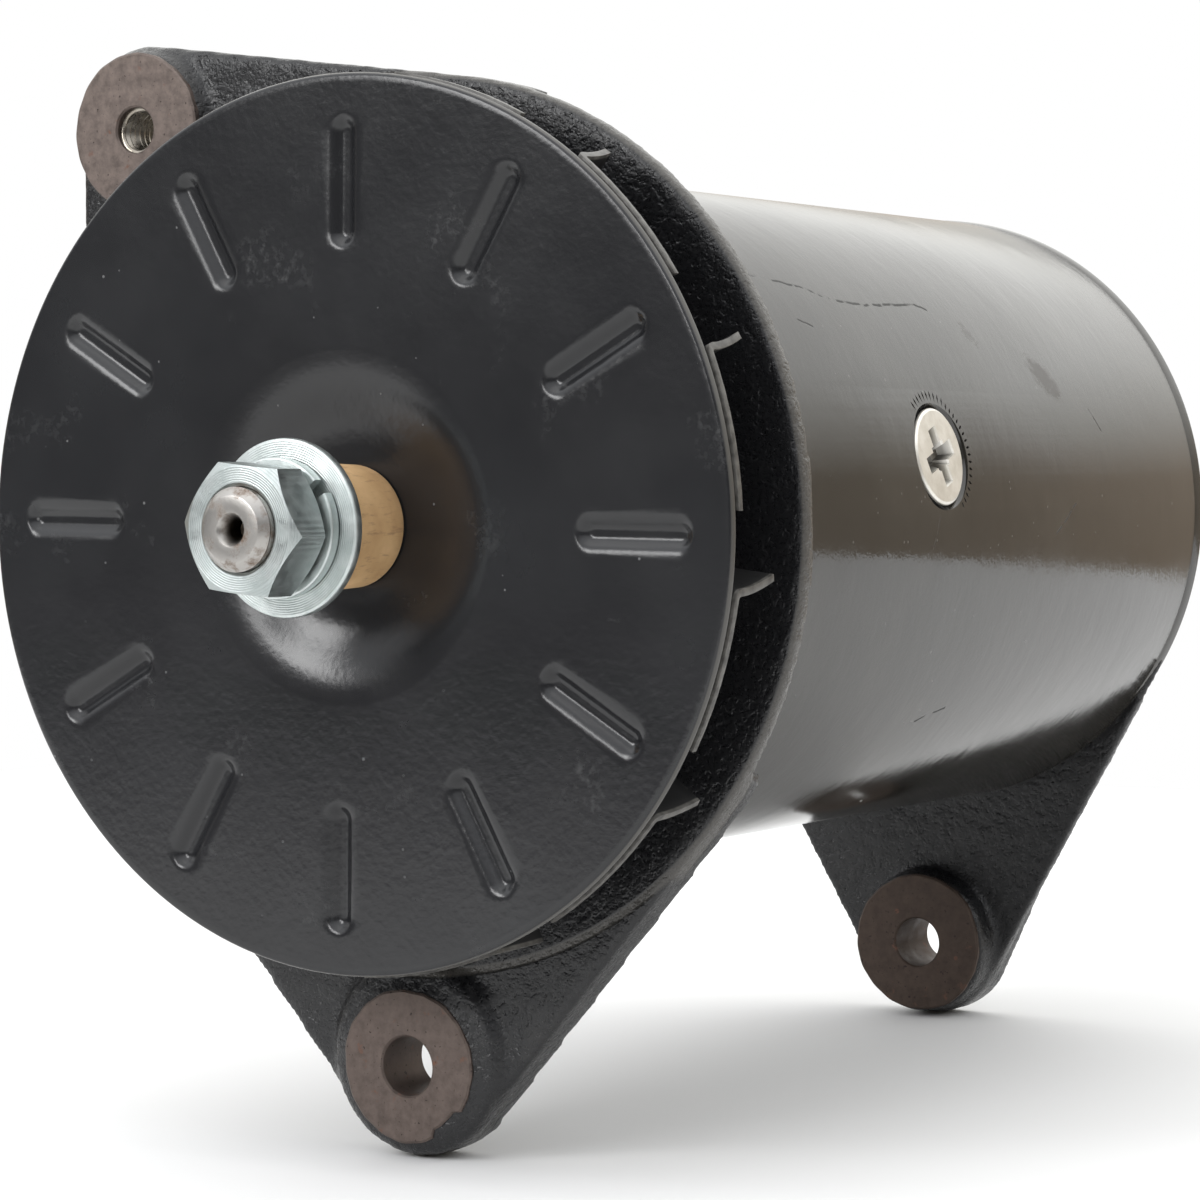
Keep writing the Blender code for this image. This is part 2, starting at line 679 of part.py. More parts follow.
def make_pole_screw(name, turn, housing, zinc):
    bm = bmesh.new()
    top = YOKE_RADIUS - FIT
    add_countersunk(
        bm, SCREW_HEAD_RADIUS, SCREW_HEAD_DEPTH, SCREW_SHANK_RADIUS, SCREW_LENGTH, top, turn, POLE_CENTRE
    )
    screw = place(name, bm, zinc, housing)
    for number, twist in enumerate((radians(20), radians(110))):
        slot = bmesh.new()
        depth = SCREW_RECESS + OVERRUN
        middle = top - SCREW_RECESS + depth / 2
        size = (SCREW_SLOT_LENGTH, SCREW_SLOT, depth)
        block(slot, (0, 0, middle), size, Matrix.Rotation(twist, 4, "Z"))
        move = Matrix.Translation((0, POLE_CENTRE, 0)) @ outward(turn)
        bmesh.ops.transform(slot, matrix=move, verts=slot.verts)
        cut(screw, slot, f"{name}_slot_{number + 1}")
    return screw


def make_pole_shoe(name, turn, housing, iron):
    neck = POLE_INNER + POLE_TIP_THICKNESS
    outline = (
        arc((0, 0), POLE_OUTER, -POLE_BODY_HALF, POLE_BODY_HALF)
        + arc((0, 0), neck + POLE_TIP_THICKNESS, POLE_BODY_HALF, POLE_BODY_HALF)[:1]
        + arc((0, 0), neck, POLE_BODY_HALF + POLE_BODY_HALF / 4, POLE_TIP_HALF)
        + arc((0, 0), POLE_INNER, POLE_TIP_HALF, -POLE_TIP_HALF)
        + arc((0, 0), neck, -POLE_TIP_HALF, -POLE_BODY_HALF - POLE_BODY_HALF / 4)
        + arc((0, 0), neck + POLE_TIP_THICKNESS, -POLE_BODY_HALF, -POLE_BODY_HALF)[:1]
    )
    bm = bmesh.new()
    add_slab(bm, holed_at(outline, turn), [], CORE_FRONT, CORE_REAR)
    shoe = place(name, bm, iron, housing)
    hole = bmesh.new()
    radius = SCREW_SHANK_RADIUS + FIT
    top = YOKE_RADIUS
    add_countersunk(hole, radius, FIT, radius, SCREW_LENGTH + FIT + FIT, top, turn, POLE_CENTRE, COARSE)
    return cut(shoe, hole, f"{name}_screw_hole")


def make_field_coil(name, turn, housing, tape):
    """A flat taped coil bent round the pole, following a rounded rectangle on the bore."""
    mean = POLE_OUTER - FIT - COIL_HEIGHT / 2
    half_arc = POLE_BODY_HALF * POLE_OUTER + FIT + COIL_WIDTH / 2
    half_long = POLE_LENGTH / 2 + FIT + COIL_WIDTH / 2
    bend = COIL_CORNER + COIL_WIDTH / 2
    corners = (
        (half_arc - bend, half_long - bend, 0),
        (-half_arc + bend, half_long - bend, pi / 2),
        (-half_arc + bend, -half_long + bend, pi),
        (half_arc - bend, -half_long + bend, 3 * pi / 2),
    )
    bm = bmesh.new()
    rings = []
    path = []
    for s, y, start in corners:
        path += [(s, y, start + pi / 2 * i / 4) for i in range(5)]
    section = (
        (-COIL_WIDTH / 2, -COIL_HEIGHT / 2),
        (COIL_WIDTH / 2, -COIL_HEIGHT / 2),
        (COIL_WIDTH / 2, COIL_HEIGHT / 2),
        (-COIL_WIDTH / 2, COIL_HEIGHT / 2),
    )
    for s, y, lean in densified(path, bend):
        ring = []
        for across, up in section:
            along = s + across * cos(lean)
            station = POLE_CENTRE + y + across * sin(lean)
            angle = turn + along / POLE_OUTER
            x, z = polar(mean + up, angle)
            ring.append(bm.verts.new((x, station, z)))
        rings.append(ring)
    loops = [[bm.edges.new((ring[i - 1], ring[i])) for i in range(len(ring))] for ring in rings]
    for near, far in zip(loops, loops[1:] + loops[:1]):
        bmesh.ops.bridge_loops(bm, edges=near + far)
    return place(name, bm, tape, housing)


def densified(corners, bend):
    """Places along a rounded rectangle, as (s, y, outward lean), its long sides split to follow the bore."""
    path = [(s + bend * cos(lean), y + bend * sin(lean), lean) for s, y, lean in corners]
    dense = []
    for (s0, y0, lean0), (s1, y1, lean1) in zip(path, path[1:] + path[:1]):
        dense.append((s0, y0, lean0))
        if abs(s1 - s0) > 2 * bend:
            parts = 4
            dense += [(s0 + (s1 - s0) * i / parts, y0, lean0) for i in range(1, parts)]
    return dense


def make_shaft(rotor, steel):
    seat_end = CORE_FRONT - FRONT_WINDING - FIT - FIT
    thread_end = SHAFT_FRONT + THREAD_LENGTH
    profile = [
        (0, SHAFT_FRONT + CENTRE_HOLE_DEPTH),
        (CENTRE_HOLE_RADIUS, SHAFT_FRONT + CENTRE_HOLE_DEPTH - CENTRE_HOLE_RADIUS),
        (CENTRE_HOLE_RADIUS, SHAFT_FRONT),
        (THREAD_RADIUS - SHAFT_CHAMFER, SHAFT_FRONT),
        (THREAD_RADIUS, SHAFT_FRONT + SHAFT_CHAMFER),
        (THREAD_RADIUS, thread_end),
        (PULLEY_SEAT_RADIUS, thread_end),
        (PULLEY_SEAT_RADIUS, DISH_BACK + FIT / 2),
        (BEARING_SEAT_RADIUS, DISH_BACK + FIT / 2),
        (BEARING_SEAT_RADIUS, seat_end),
        (CORE_SEAT_RADIUS, seat_end),
        (CORE_SEAT_RADIUS, COMMUTATOR_REAR + FIT),
        (REAR_JOURNAL_RADIUS, COMMUTATOR_REAR + FIT),
        (REAR_JOURNAL_RADIUS, SHAFT_REAR - SHAFT_CHAMFER),
        (REAR_JOURNAL_RADIUS - SHAFT_CHAMFER, SHAFT_REAR),
        (0, SHAFT_REAR),
    ]
    bm = bmesh.new()
    add_turned(bm, profile, MEDIUM)
    shaft = place("armature_shaft", bm, steel, rotor)
    slot = bmesh.new()
    add_key(slot, FIT, OVERRUN)
    return merge_flats(cut(shaft, slot, "keyway"))


def add_key(bm, margin, rise):
    """Half-moon key lying along the shaft at its own angle, or the shape that cuts its slot."""
    top = PULLEY_SEAT_RADIUS + KEY_PROUD + rise
    centre = PULLEY_SEAT_RADIUS - KEY_DEEP + KEY_RADIUS
    radius = KEY_RADIUS + margin
    middle = DISH_FACE - KEY_FROM_FAN
    low = asin(max(0, centre - top) / radius)
    side = arc((middle, centre), radius, -low, low - pi, COARSE)
    if top > centre:
        side = [(middle + radius, top)] + side + [(middle - radius, top)]
    width = KEY_WIDTH / 2 + margin
    corners = [bm.verts.new((-width, y, h)) for y, h in side]
    face = bm.faces.new(corners)
    moved = bmesh.ops.extrude_face_region(bm, geom=[face], use_keep_orig=True)
    far = [g for g in moved["geom"] if isinstance(g, bmesh.types.BMVert)]
    bmesh.ops.translate(bm, verts=far, vec=(width + width, 0, 0))
    bmesh.ops.transform(bm, matrix=outward(KEY_ANGLE), verts=bm.verts)


def make_nose_stack(rotor, zinc, card, steel):
    key = bmesh.new()
    add_key(key, 0, 0)
    place("woodruff_key", key, steel, rotor)

    bump_inner = hypot(PULLEY_SEAT_RADIUS + KEY_PROUD, KEY_WIDTH / 2) + FIT
    plain_inner = PULLEY_SEAT_RADIUS + FIT

    def tube_outline(extra):
        points = []
        for i in range(MEDIUM):
            turn = 2 * pi * i / MEDIUM
            away = abs((turn - KEY_ANGLE + pi) % (2 * pi) - pi)
            lift = max(0, cos(min(1, away / SPACER_BUMP_HALF) * pi / 2)) ** (1 / 2)
            points.append(polar(plain_inner + (bump_inner - plain_inner) * lift + extra, turn))
        return points

    spacer = bmesh.new()
    rear = SPACER_FRONT + SPACER_LENGTH
    add_slab(spacer, tube_outline(SPACER_WALL), [tube_outline(0)], SPACER_FRONT, rear)
    place("spacer_tube", spacer, card, rotor)

    washer = bmesh.new()
    bore = THREAD_RADIUS + FIT
    rear = WASHER_FRONT + WASHER_THICKNESS
    ring = [(bore, WASHER_FRONT), (WASHER_RADIUS, WASHER_FRONT), (WASHER_RADIUS, rear), (bore, rear)]
    add_turned(washer, ring, MEDIUM)
    place("plain_washer", washer, zinc, rotor)

    make_spring_washer(rotor, zinc)

    nut = bmesh.new()
    add_slab(nut, hexagon(NUT_FLATS, NUT_TURN), [], NUT_FRONT, NUT_REAR)
    nut = place("shaft_nut", nut, zinc, rotor)
    for name, face, into in (("front", NUT_FRONT, 1), ("rear", NUT_REAR, -1)):
        crown = bmesh.new()
        corner = NUT_FLATS / 2 / cos(pi / 6)
        near = NUT_FLATS / 2 - FIT
        cone = [
            (near, face - into * FIT),
            (corner + OVERRUN, face - into * FIT),
            (corner + OVERRUN, face + into * (NUT_CHAMFER + OVERRUN * NUT_CHAMFER / (corner - near))),
        ]
        add_turned(crown, cone, MEDIUM)
        cut(nut, crown, f"nut_chamfer_{name}")
    bore = bmesh.new()
    add_rod(bore, (0, 0), THREAD_RADIUS + FIT, NUT_FRONT - OVERRUN, NUT_REAR + OVERRUN, MEDIUM)
    cut(nut, bore, "nut_bore")


def make_spring_washer(rotor, zinc):
    """A split ring whose ends stand apart along the shaft."""
    inner = THREAD_RADIUS + FIT
    sweep = 2 * pi - SPRING_WASHER_GAP
    steps = MEDIUM
    bm = bmesh.new()
    loops = []
    ends = []
    for i in range(steps + 1):
        turn = SPRING_WASHER_START + SPRING_WASHER_GAP / 2 + sweep * i / steps
        y = SPRING_REAR - SPRING_WASHER_RISE * i / steps
        near, far = polar(inner, turn), polar(SPRING_WASHER_RADIUS, turn)
        front = y - SPRING_WASHER_THICKNESS
        corners = [(near[0], y, near[1]), (far[0], y, far[1])]
        corners += [(far[0], front, far[1]), (near[0], front, near[1])]
        ring = [bm.verts.new(c) for c in corners]
        ends.append(ring)
        loops.append([bm.edges.new((ring[k - 1], ring[k])) for k in range(4)])
    for near_loop, far_loop in zip(loops, loops[1:]):
        bmesh.ops.bridge_loops(bm, edges=near_loop + far_loop)
    bm.faces.new(ends[0])
    bm.faces.new(ends[-1])
    place("spring_washer", bm, zinc, rotor)


def stadium(inner, outer, half, turn, steps=2):
    """Long round-ended outline along a radius."""
    a = arc((outer - half, 0), half, -pi / 2, pi / 2, 2 * steps)
    b = arc((inner + half, 0), half, pi / 2, 3 * pi / 2, 2 * steps)
    return holed_at(a + b, turn)


def add_frustum(bm, lower, y_lower, upper, y_upper):
    """A closed shape between two outlines of as many points."""
    near = add_outline(bm, lower, y_lower)
    far = add_outline(bm, upper, y_upper)
    bmesh.ops.bridge_loops(bm, edges=near + far)
    bmesh.ops.edgeloop_fill(bm, edges=near)
    bmesh.ops.edgeloop_fill(bm, edges=far)


def make_fan_disc(rotor, paint):
    """The pressed front disc: a dished centre and twelve radial grooves pressed backwards."""
    bm = bmesh.new()
    hole = PULLEY_SEAT_RADIUS + FIT
    front = [
        (hole, DISH_FACE),
        (DISH_INNER, DISH_FACE),
        (DISH_INNER + DISH_DEPTH / 2, DISH_FACE - DISH_DEPTH / 9),
        (DISH_OUTER - DISH_DEPTH / 2, FAN_FACE + DISH_DEPTH / 9),
        (DISH_OUTER, FAN_FACE),
        (FAN_RADIUS - FAN_RIM_ROUND, FAN_FACE),
        (FAN_RADIUS, FAN_FACE + FAN_RIM_ROUND),
    ]
    back = [(r, y + FAN_SHEET) for r, y in front[:-1]]
    back[-1] = (FAN_RADIUS, FAN_FACE + FAN_SHEET)
    add_turned(bm, front + back[::-1], FINE)
    disc = place("fan_disc", bm, paint, rotor)

    swells = bmesh.new()
    grooves = bmesh.new()
    slope = (RIB_TOP_HALF - RIB_FLOOR_HALF) / RIB_DEPTH
    floor = FAN_FACE + RIB_DEPTH
    for i in range(RIB_COUNT):
        turn = RIB_TURN + i * 2 * pi / RIB_COUNT
        spread = RIB_WALL * slope / 2
        wide = RIB_TOP_HALF + spread
        slim = RIB_FLOOR_HALF + RIB_WALL
        root = FAN_FACE + FAN_SHEET / 2
        crest = floor + RIB_WALL
        lower = stadium(RIB_INNER - spread, RIB_OUTER + spread, wide, turn)
        drop = wide - slim
        upper = stadium(RIB_INNER - spread + drop, RIB_OUTER + spread - drop, slim, turn)
        add_frustum(swells, lower, root, upper, crest)
        over = OVERRUN / 4
        grow = over * slope
        lower = stadium(RIB_INNER - grow, RIB_OUTER + grow, RIB_TOP_HALF + grow, turn)
        drop = RIB_TOP_HALF - RIB_FLOOR_HALF
        upper = stadium(RIB_INNER + drop, RIB_OUTER - drop, RIB_FLOOR_HALF, turn)
        add_frustum(grooves, lower, FAN_FACE - over, upper, floor)
    join(disc, swells, "fan_rib_backs")
    cut(disc, grooves, "fan_rib_grooves")
    merge_flats(disc)
    return disc


def make_vane_plate(rotor, paint):
    """The rear plate: a ring cut into sectors, with one edge of each cut folded back as a vane."""
    front = FAN_FACE + FAN_SHEET + FIT
    rear = front + VANE_SHEET
    outline = []
    step = 2 * pi / RIB_COUNT
    for i in range(RIB_COUNT):
        fold = VANE_ANGLE + i * step
        outer_end = fold + asin(VANE_NOTCH / VANE_PLATE_RADIUS)
        inner_end = fold + asin(VANE_NOTCH / VANE_INNER)
        outline += arc((0, 0), VANE_PLATE_RADIUS, outer_end - step, fold)
        outline.append(polar(VANE_INNER, fold))
        outline.append(polar(VANE_INNER, inner_end))
    bm = bmesh.new()
    add_slab(bm, outline, [circle((0, 0), VANE_PLATE_INNER, MEDIUM)], front, rear)
    plate = place("fan_vane_plate", bm, paint, rotor)
    vanes = bmesh.new()
    for i in range(RIB_COUNT):
        blade = bmesh.new()
        fold = VANE_ANGLE + i * step
        rings = []
        for k in range(VANE_BENDS + 1):
            share = k / VANE_BENDS
            y = front + VANE_SHEET / 4 + (VANE_DEPTH - VANE_SHEET / 4) * share
            lean = VANE_LEAN * share**2 - VANE_SHEET
            sides = ((VANE_INNER + FIT, lean), (VANE_PLATE_RADIUS - FIT, lean))
            sides += ((VANE_PLATE_RADIUS - FIT, lean + VANE_SHEET), (VANE_INNER + FIT, lean + VANE_SHEET))
            rings.append([blade.verts.new((along, y, across)) for along, across in sides])
        loops = [[blade.edges.new((ring[n - 1], ring[n])) for n in range(4)] for ring in rings]
        for near, far in zip(loops, loops[1:]):
            bmesh.ops.bridge_loops(blade, edges=near + far)
        blade.faces.new(rings[0])
        blade.faces.new(rings[-1])
        bmesh.ops.transform(blade, matrix=Matrix.Rotation(-fold, 4, "Y"), verts=blade.verts)
        finish_mesh(blade)
        holder = bpy.data.meshes.new("vane")
        blade.to_mesh(holder)
        blade.free()
        vanes.from_mesh(holder)
        bpy.data.meshes.remove(holder)
    join(plate, vanes, "fan_vanes")
    return plate


def groove_outline(radius, count, width, depth):
    """A circle with evenly spaced square grooves, each point paired with a turn."""
    points = []
    half = asin(width / 2 / radius)
    deep = radius - depth
    for i in range(count):
        turn = 2 * pi * i / count
        span = 2 * pi / count
        low = asin(width / 2 / deep)
        points += [polar(deep, turn - low), polar(deep, turn + low)]
        points += [polar(radius, turn + half), polar(radius, turn + span - half)]
    return points


def make_armature(rotor, lamination, winding, copper):
    bore = CORE_SEAT_RADIUS + FIT
    core = bmesh.new()
    outline = groove_outline(CORE_RADIUS, CORE_SLOTS, SLOT_WIDTH, SLOT_DEPTH)
    add_slab(core, outline, [circle((0, 0), bore)], CORE_FRONT, CORE_REAR)
    place("armature_core", core, lamination, rotor)

    slim = WINDING_RADIUS - WINDING_TAPER
    for name, near, length, way in (
        ("front_end_winding", CORE_FRONT - FIT, FRONT_WINDING, -1),
        ("rear_end_winding", CORE_REAR + FIT, REAR_WINDING, 1),
    ):
        far = near + way * length
        bend = near + way * length / 2
        profile = [(bore, near), (WINDING_RADIUS, near), (WINDING_RADIUS, bend), (slim, far), (bore, far)]
        bm = bmesh.new()
        add_turned(bm, profile, MEDIUM)
        place(name, bm, winding, rotor)

    bars = bmesh.new()
    outline = groove_outline(COMMUTATOR_RADIUS, CORE_SLOTS, BAR_GAP, BAR_UNDERCUT)
    add_slab(bars, outline, [circle((0, 0), bore)], COMMUTATOR_FRONT + RISER_LENGTH / 2, COMMUTATOR_REAR)
    commutator = place("commutator", bars, copper, rotor)
    riser = bmesh.new()
    within = (bore + COMMUTATOR_RADIUS) / 2
    ring = [
        (within, COMMUTATOR_FRONT),
        (RISER_RADIUS, COMMUTATOR_FRONT),
        (RISER_RADIUS, COMMUTATOR_FRONT + RISER_LENGTH),
        (within, COMMUTATOR_FRONT + RISER_LENGTH),
    ]
    add_turned(riser, ring, MEDIUM)
    join(commutator, riser, "commutator_riser")
    merge_flats(commutator)


def make_bearing(housing, rotor, cage_axis, steel, felt_finish, plate_finish, zinc):
    pitch = (BEARING_RADIUS + BEARING_SEAT_RADIUS) / 2
    middle = (BEARING_FRONT + BEARING_REAR) / 2
    outer_land = BEARING_RADIUS - RACE_LAND
    inner_land = BEARING_SEAT_RADIUS + RACE_LAND
    groove = BALL_RADIUS * 3 / 4

    def race(name, wall, land, deepen, parent):
        profile = [
            (wall, BEARING_FRONT),
            (land, BEARING_FRONT),
            (land, middle - groove),
            (land + deepen, middle - groove / 3),
            (land + deepen, middle + groove / 3),
            (land, middle + groove),
            (land, BEARING_REAR),
            (wall, BEARING_REAR),
        ]
        bm = bmesh.new()
        add_turned(bm, profile, MEDIUM)
        place(name, bm, steel, parent)

    race("bearing_outer_race", BEARING_RADIUS, outer_land, RACE_GROOVE, housing)
    race("bearing_inner_race", BEARING_SEAT_RADIUS + FIT, inner_land, -RACE_GROOVE, rotor)

    cage = bmesh.new()
    near, far = pitch - CAGE_THICKNESS / 2, pitch + CAGE_THICKNESS / 2
    a, b = middle - CAGE_WIDTH / 2, middle + CAGE_WIDTH / 2
    add_turned(cage, [(near, a), (far, a), (far, b), (near, b)], MEDIUM)
    cage = place("ball_cage", cage, steel, cage_axis)
    balls = bmesh.new()
    for i in range(BALL_COUNT):
        x, z = polar(pitch, i * 2 * pi / BALL_COUNT)
        spot = Matrix.Translation((x, middle, z))
        bmesh.ops.create_icosphere(balls, subdivisions=2, radius=BALL_RADIUS, matrix=spot)
    join(cage, balls, "bearing_balls")
    merge_flats(cage)

    collar = bmesh.new()
    bore = BEARING_SEAT_RADIUS + FIT
    front, rear = DISH_BACK + FIT, BEARING_FRONT - FIT
    add_turned(collar, [(bore, front), (COLLAR_RADIUS, front), (COLLAR_RADIUS, rear), (bore, rear)], MEDIUM)
    place("bearing_collar", collar, plate_finish, rotor)

    felt = bmesh.new()
    inside = COLLAR_RADIUS + FIT
    front = HUB_FRONT + HUB_FRONT_WALL + FIT
    rear = BEARING_FRONT - FIT - FIT
    add_turned(felt, [(inside, front), (FELT_RADIUS, front), (FELT_RADIUS, rear), (inside, rear)], MEDIUM)
    place("felt_seal", felt, felt_finish, housing)

    clip = bmesh.new()
    front = BEARING_REAR + FIT
    rear = front + CIRCLIP_THICKNESS
    add_turned(clip, [(bore, front), (CIRCLIP_RADIUS, front), (CIRCLIP_RADIUS, rear), (bore, rear)], MEDIUM)
    place("bearing_circlip", clip, zinc, rotor)

    front = HUB_REAR + FIT
    rear = front + RETAINER_THICKNESS
    plate = bmesh.new()
    holes = [circle(p, RETAINER_SCREW_RADIUS + FIT, COARSE // 2) for p in retainer_places()]
    holes.append(circle((0, 0), RETAINER_INNER))
    add_slab(plate, circle((0, 0), HUB_RADIUS - FIT), holes, front, rear)
    place("bearing_retainer", plate, plate_finish, housing)
    for number, spot in enumerate(retainer_places()):
        screw = bmesh.new()
        head = rear + FIT
        top = head + RETAINER_SCREW_HEAD_HEIGHT
        profile = [
            (0, head - RETAINER_SCREW_LENGTH),
            (RETAINER_SCREW_RADIUS, head - RETAINER_SCREW_LENGTH),
            (RETAINER_SCREW_RADIUS, head),
            (RETAINER_SCREW_HEAD, head),
            (RETAINER_SCREW_HEAD, top - RETAINER_SCREW_HEAD_HEIGHT / 3),
            (RETAINER_SCREW_HEAD / 2, top),
            (0, top),
        ]
        add_turned(screw, profile, COARSE // 2)
        place(f"retainer_screw_{number + 1}", screw, zinc, housing, (spot[0], 0, spot[1]))


def make_rear_bush(housing, bronze):
    bm = bmesh.new()
    inner = REAR_JOURNAL_RADIUS + FIT
    outer = inner + BUSH_WALL
    front = REAR_FRONT - REAR_HUB_AHEAD
    rear = front + BUSH_LENGTH
    add_turned(bm, [(inner, front), (outer, front), (outer, rear), (inner, rear)], MEDIUM)
    place("commutator_end_bush", bm, bronze, housing)


def make_through_bolt(name, spot, housing, zinc):
    bm = bmesh.new()
    seat = COVER_REAR + FIT
    front = PLATE_FRONT + BOLT_FRONT_COVER + FIT
    top = seat + BOLT_HEAD_HEIGHT
    profile = [
        (0, front),
        (BOLT_RADIUS, front),
        (BOLT_RADIUS, seat),
        (BOLT_HEAD_RADIUS, seat),
        (BOLT_HEAD_RADIUS, top - BOLT_SLOT),
        (BOLT_HEAD_RADIUS - BOLT_SLOT, top),
        (0, top),
    ]
    add_turned(bm, profile, COARSE)
    bolt = place(name, bm, zinc, housing, (spot[0], 0, spot[1]))
    slot = bmesh.new()
    width = BOLT_HEAD_RADIUS * 2 + OVERRUN
    depth = BOLT_SLOT_DEPTH + OVERRUN
    block(slot, (spot[0], top - BOLT_SLOT_DEPTH + depth / 2, spot[1]), (width, depth, BOLT_SLOT))
    cut(bolt, slot, f"{name}_slot")


def brush_frame(turn):
    """Local X runs across the brush, away from the through bolt, Y along the shaft and Z outwards."""
    return outward(turn) @ Matrix.Scale(-1, 4, (1, 0, 0))


def make_brush_set(number, turn, housing, brush_axis, arm_axis, carbon, brass, spring, fibre):
    frame = brush_frame(turn)
    reach = COMMUTATOR_RADIUS + FIT

    half = BRUSH_WIDTH / 2
    sweep = asin(half / reach)
    side = arc((0, 0), reach, pi / 2 - sweep, pi / 2 + sweep, MEDIUM)
    side = [(half, reach + BRUSH_LENGTH)] + side + [(-half, reach + BRUSH_LENGTH)]
    brush = bmesh.new()
    a, b = BRUSH_CENTRE - BRUSH_BREADTH / 2, BRUSH_CENTRE + BRUSH_BREADTH / 2
    add_slab(brush, side, [], a, b)
    brush_origin = frame @ Vector((0, BRUSH_CENTRE, reach))
    bmesh.ops.transform(brush, matrix=Matrix.Translation(-brush_origin) @ frame, verts=brush.verts)
    brush_axis.location = brush_origin
    place(f"brush_{number}", brush, carbon, brush_axis)

    base = COMMUTATOR_RADIUS + HOLDER_BASE
    top = base + HOLDER_HEIGHT
    wide = half + FIT + HOLDER_WALL
    broad = BRUSH_BREADTH / 2 + FIT + HOLDER_WALL
    box = bmesh.new()
    block(box, (0, BRUSH_CENTRE, (base + top) / 2), (wide * 2, broad * 2, HOLDER_HEIGHT))
    bmesh.ops.transform(box, matrix=frame, verts=box.verts)
    holder = place(f"brush_holder_{number}", box, brass, housing)

    seat = REAR_FRONT - FIT
    gap = INSULATOR_THICKNESS + FIT if number == 1 else 0
    foot = seat - gap
    leg = bmesh.new()
    start = BRUSH_CENTRE + broad - HOLDER_WALL / 2
    leg_low = base + HOLDER_HEIGHT / 2
    middle = leg_low + HOLDER_LEG_THICKNESS / 2
    block(leg, (0, (start + foot) / 2, middle), (HOLDER_LEG_WIDTH, foot - start, HOLDER_LEG_THICKNESS))
    bmesh.ops.transform(leg, matrix=frame, verts=leg.verts)
    join(holder, leg, f"holder_leg_{number}")
    pad = bmesh.new()
    low = leg_low + HOLDER_LEG_THICKNESS / 2
    block(
        pad,
        (0, foot - HOLDER_LEG_THICKNESS / 2, low + HOLDER_FOOT_LENGTH / 2),
        (HOLDER_LEG_WIDTH - FIT, HOLDER_LEG_THICKNESS, HOLDER_FOOT_LENGTH),
    )
    bmesh.ops.transform(pad, matrix=frame, verts=pad.verts)
    join(holder, pad, f"holder_foot_{number}")

    ear = bmesh.new()
    ear_rear = BRUSH_CENTRE + broad
    ear_front = ear_rear - HOLDER_WALL * 3 / 4
    ear_outline = [
        (wide - HOLDER_WALL / 2, base + HOLDER_HEIGHT / 4),
        (POST_REACH, POST_HEIGHT - POST_RADIUS * 2),
        (POST_REACH + POST_RADIUS * 2, POST_HEIGHT),
        (POST_REACH, POST_HEIGHT + POST_RADIUS * 2),
        (wide - HOLDER_WALL / 2, top - FIT),
    ]
    add_slab(ear, ear_outline, [], ear_front, ear_rear)
    bmesh.ops.transform(ear, matrix=frame, verts=ear.verts)
    join(holder, ear, f"holder_ear_{number}")
    post = bmesh.new()
    post_front = BRUSH_CENTRE - ARM_HUB_LENGTH / 2 - POST_RADIUS
    post_rear = ear_front + HOLDER_WALL / 4
    add_rod(post, (POST_REACH, POST_HEIGHT), POST_RADIUS, post_front, post_rear, COARSE // 2)
    bmesh.ops.transform(post, matrix=frame, verts=post.verts)
    join(holder, post, f"holder_post_{number}")
    hollow = bmesh.new()
    tall = HOLDER_HEIGHT + OVERRUN * 2
    size = ((half + FIT) * 2, BRUSH_BREADTH + FIT * 2, tall)
    block(hollow, (0, BRUSH_CENTRE, (base + top) / 2), size)
    bmesh.ops.transform(hollow, matrix=frame, verts=hollow.verts)
    cut(holder, hollow, f"holder_hollow_{number}")

    if number == 1:
        strip = bmesh.new()
        size = (HOLDER_LEG_WIDTH + HOLDER_LEG_THICKNESS, INSULATOR_THICKNESS, HOLDER_FOOT_LENGTH)
        block(strip, (0, seat - INSULATOR_THICKNESS / 2, low + HOLDER_FOOT_LENGTH / 2), size)
        bmesh.ops.transform(strip, matrix=frame, verts=strip.verts)
        place("brush_insulator", strip, fibre, housing)

    brush_top = reach + BRUSH_LENGTH
    arm_low = brush_top + FIT + ARM_FOOT_HEIGHT
    hub = bmesh.new()
    add_slab(
        hub,
        circle((POST_REACH, POST_HEIGHT), ARM_HUB_RADIUS, COARSE),
        [circle((POST_REACH, POST_HEIGHT), POST_RADIUS + FIT, COARSE // 2)],
        BRUSH_CENTRE - ARM_HUB_LENGTH / 2,
        BRUSH_CENTRE + ARM_HUB_LENGTH / 2,
    )
    origin = frame @ Vector((POST_REACH, BRUSH_CENTRE, POST_HEIGHT))
    home = Matrix.Translation(-origin) @ frame
    bmesh.ops.transform(hub, matrix=home, verts=hub.verts)
    arm_axis.location = origin
    arm = place(f"brush_arm_{number}", hub, spring, arm_axis)
    lever = bmesh.new()
    foot_half = ARM_FOOT_WIDTH / 2
    lever_outline = [
        (POST_REACH, POST_HEIGHT + ARM_HUB_RADIUS - ARM_THICKNESS),
        (POST_REACH, POST_HEIGHT + ARM_HUB_RADIUS - FIT / 2),
        (-foot_half, arm_low + ARM_THICKNESS),
        (-foot_half, brush_top + FIT),
        (foot_half, brush_top + FIT),
        (foot_half, arm_low),
    ]
    add_slab(lever, lever_outline, [], BRUSH_CENTRE - ARM_WIDTH / 2, BRUSH_CENTRE + ARM_WIDTH / 2)
    bmesh.ops.transform(lever, matrix=home, verts=lever.verts)
    join(arm, lever, f"arm_lever_{number}")


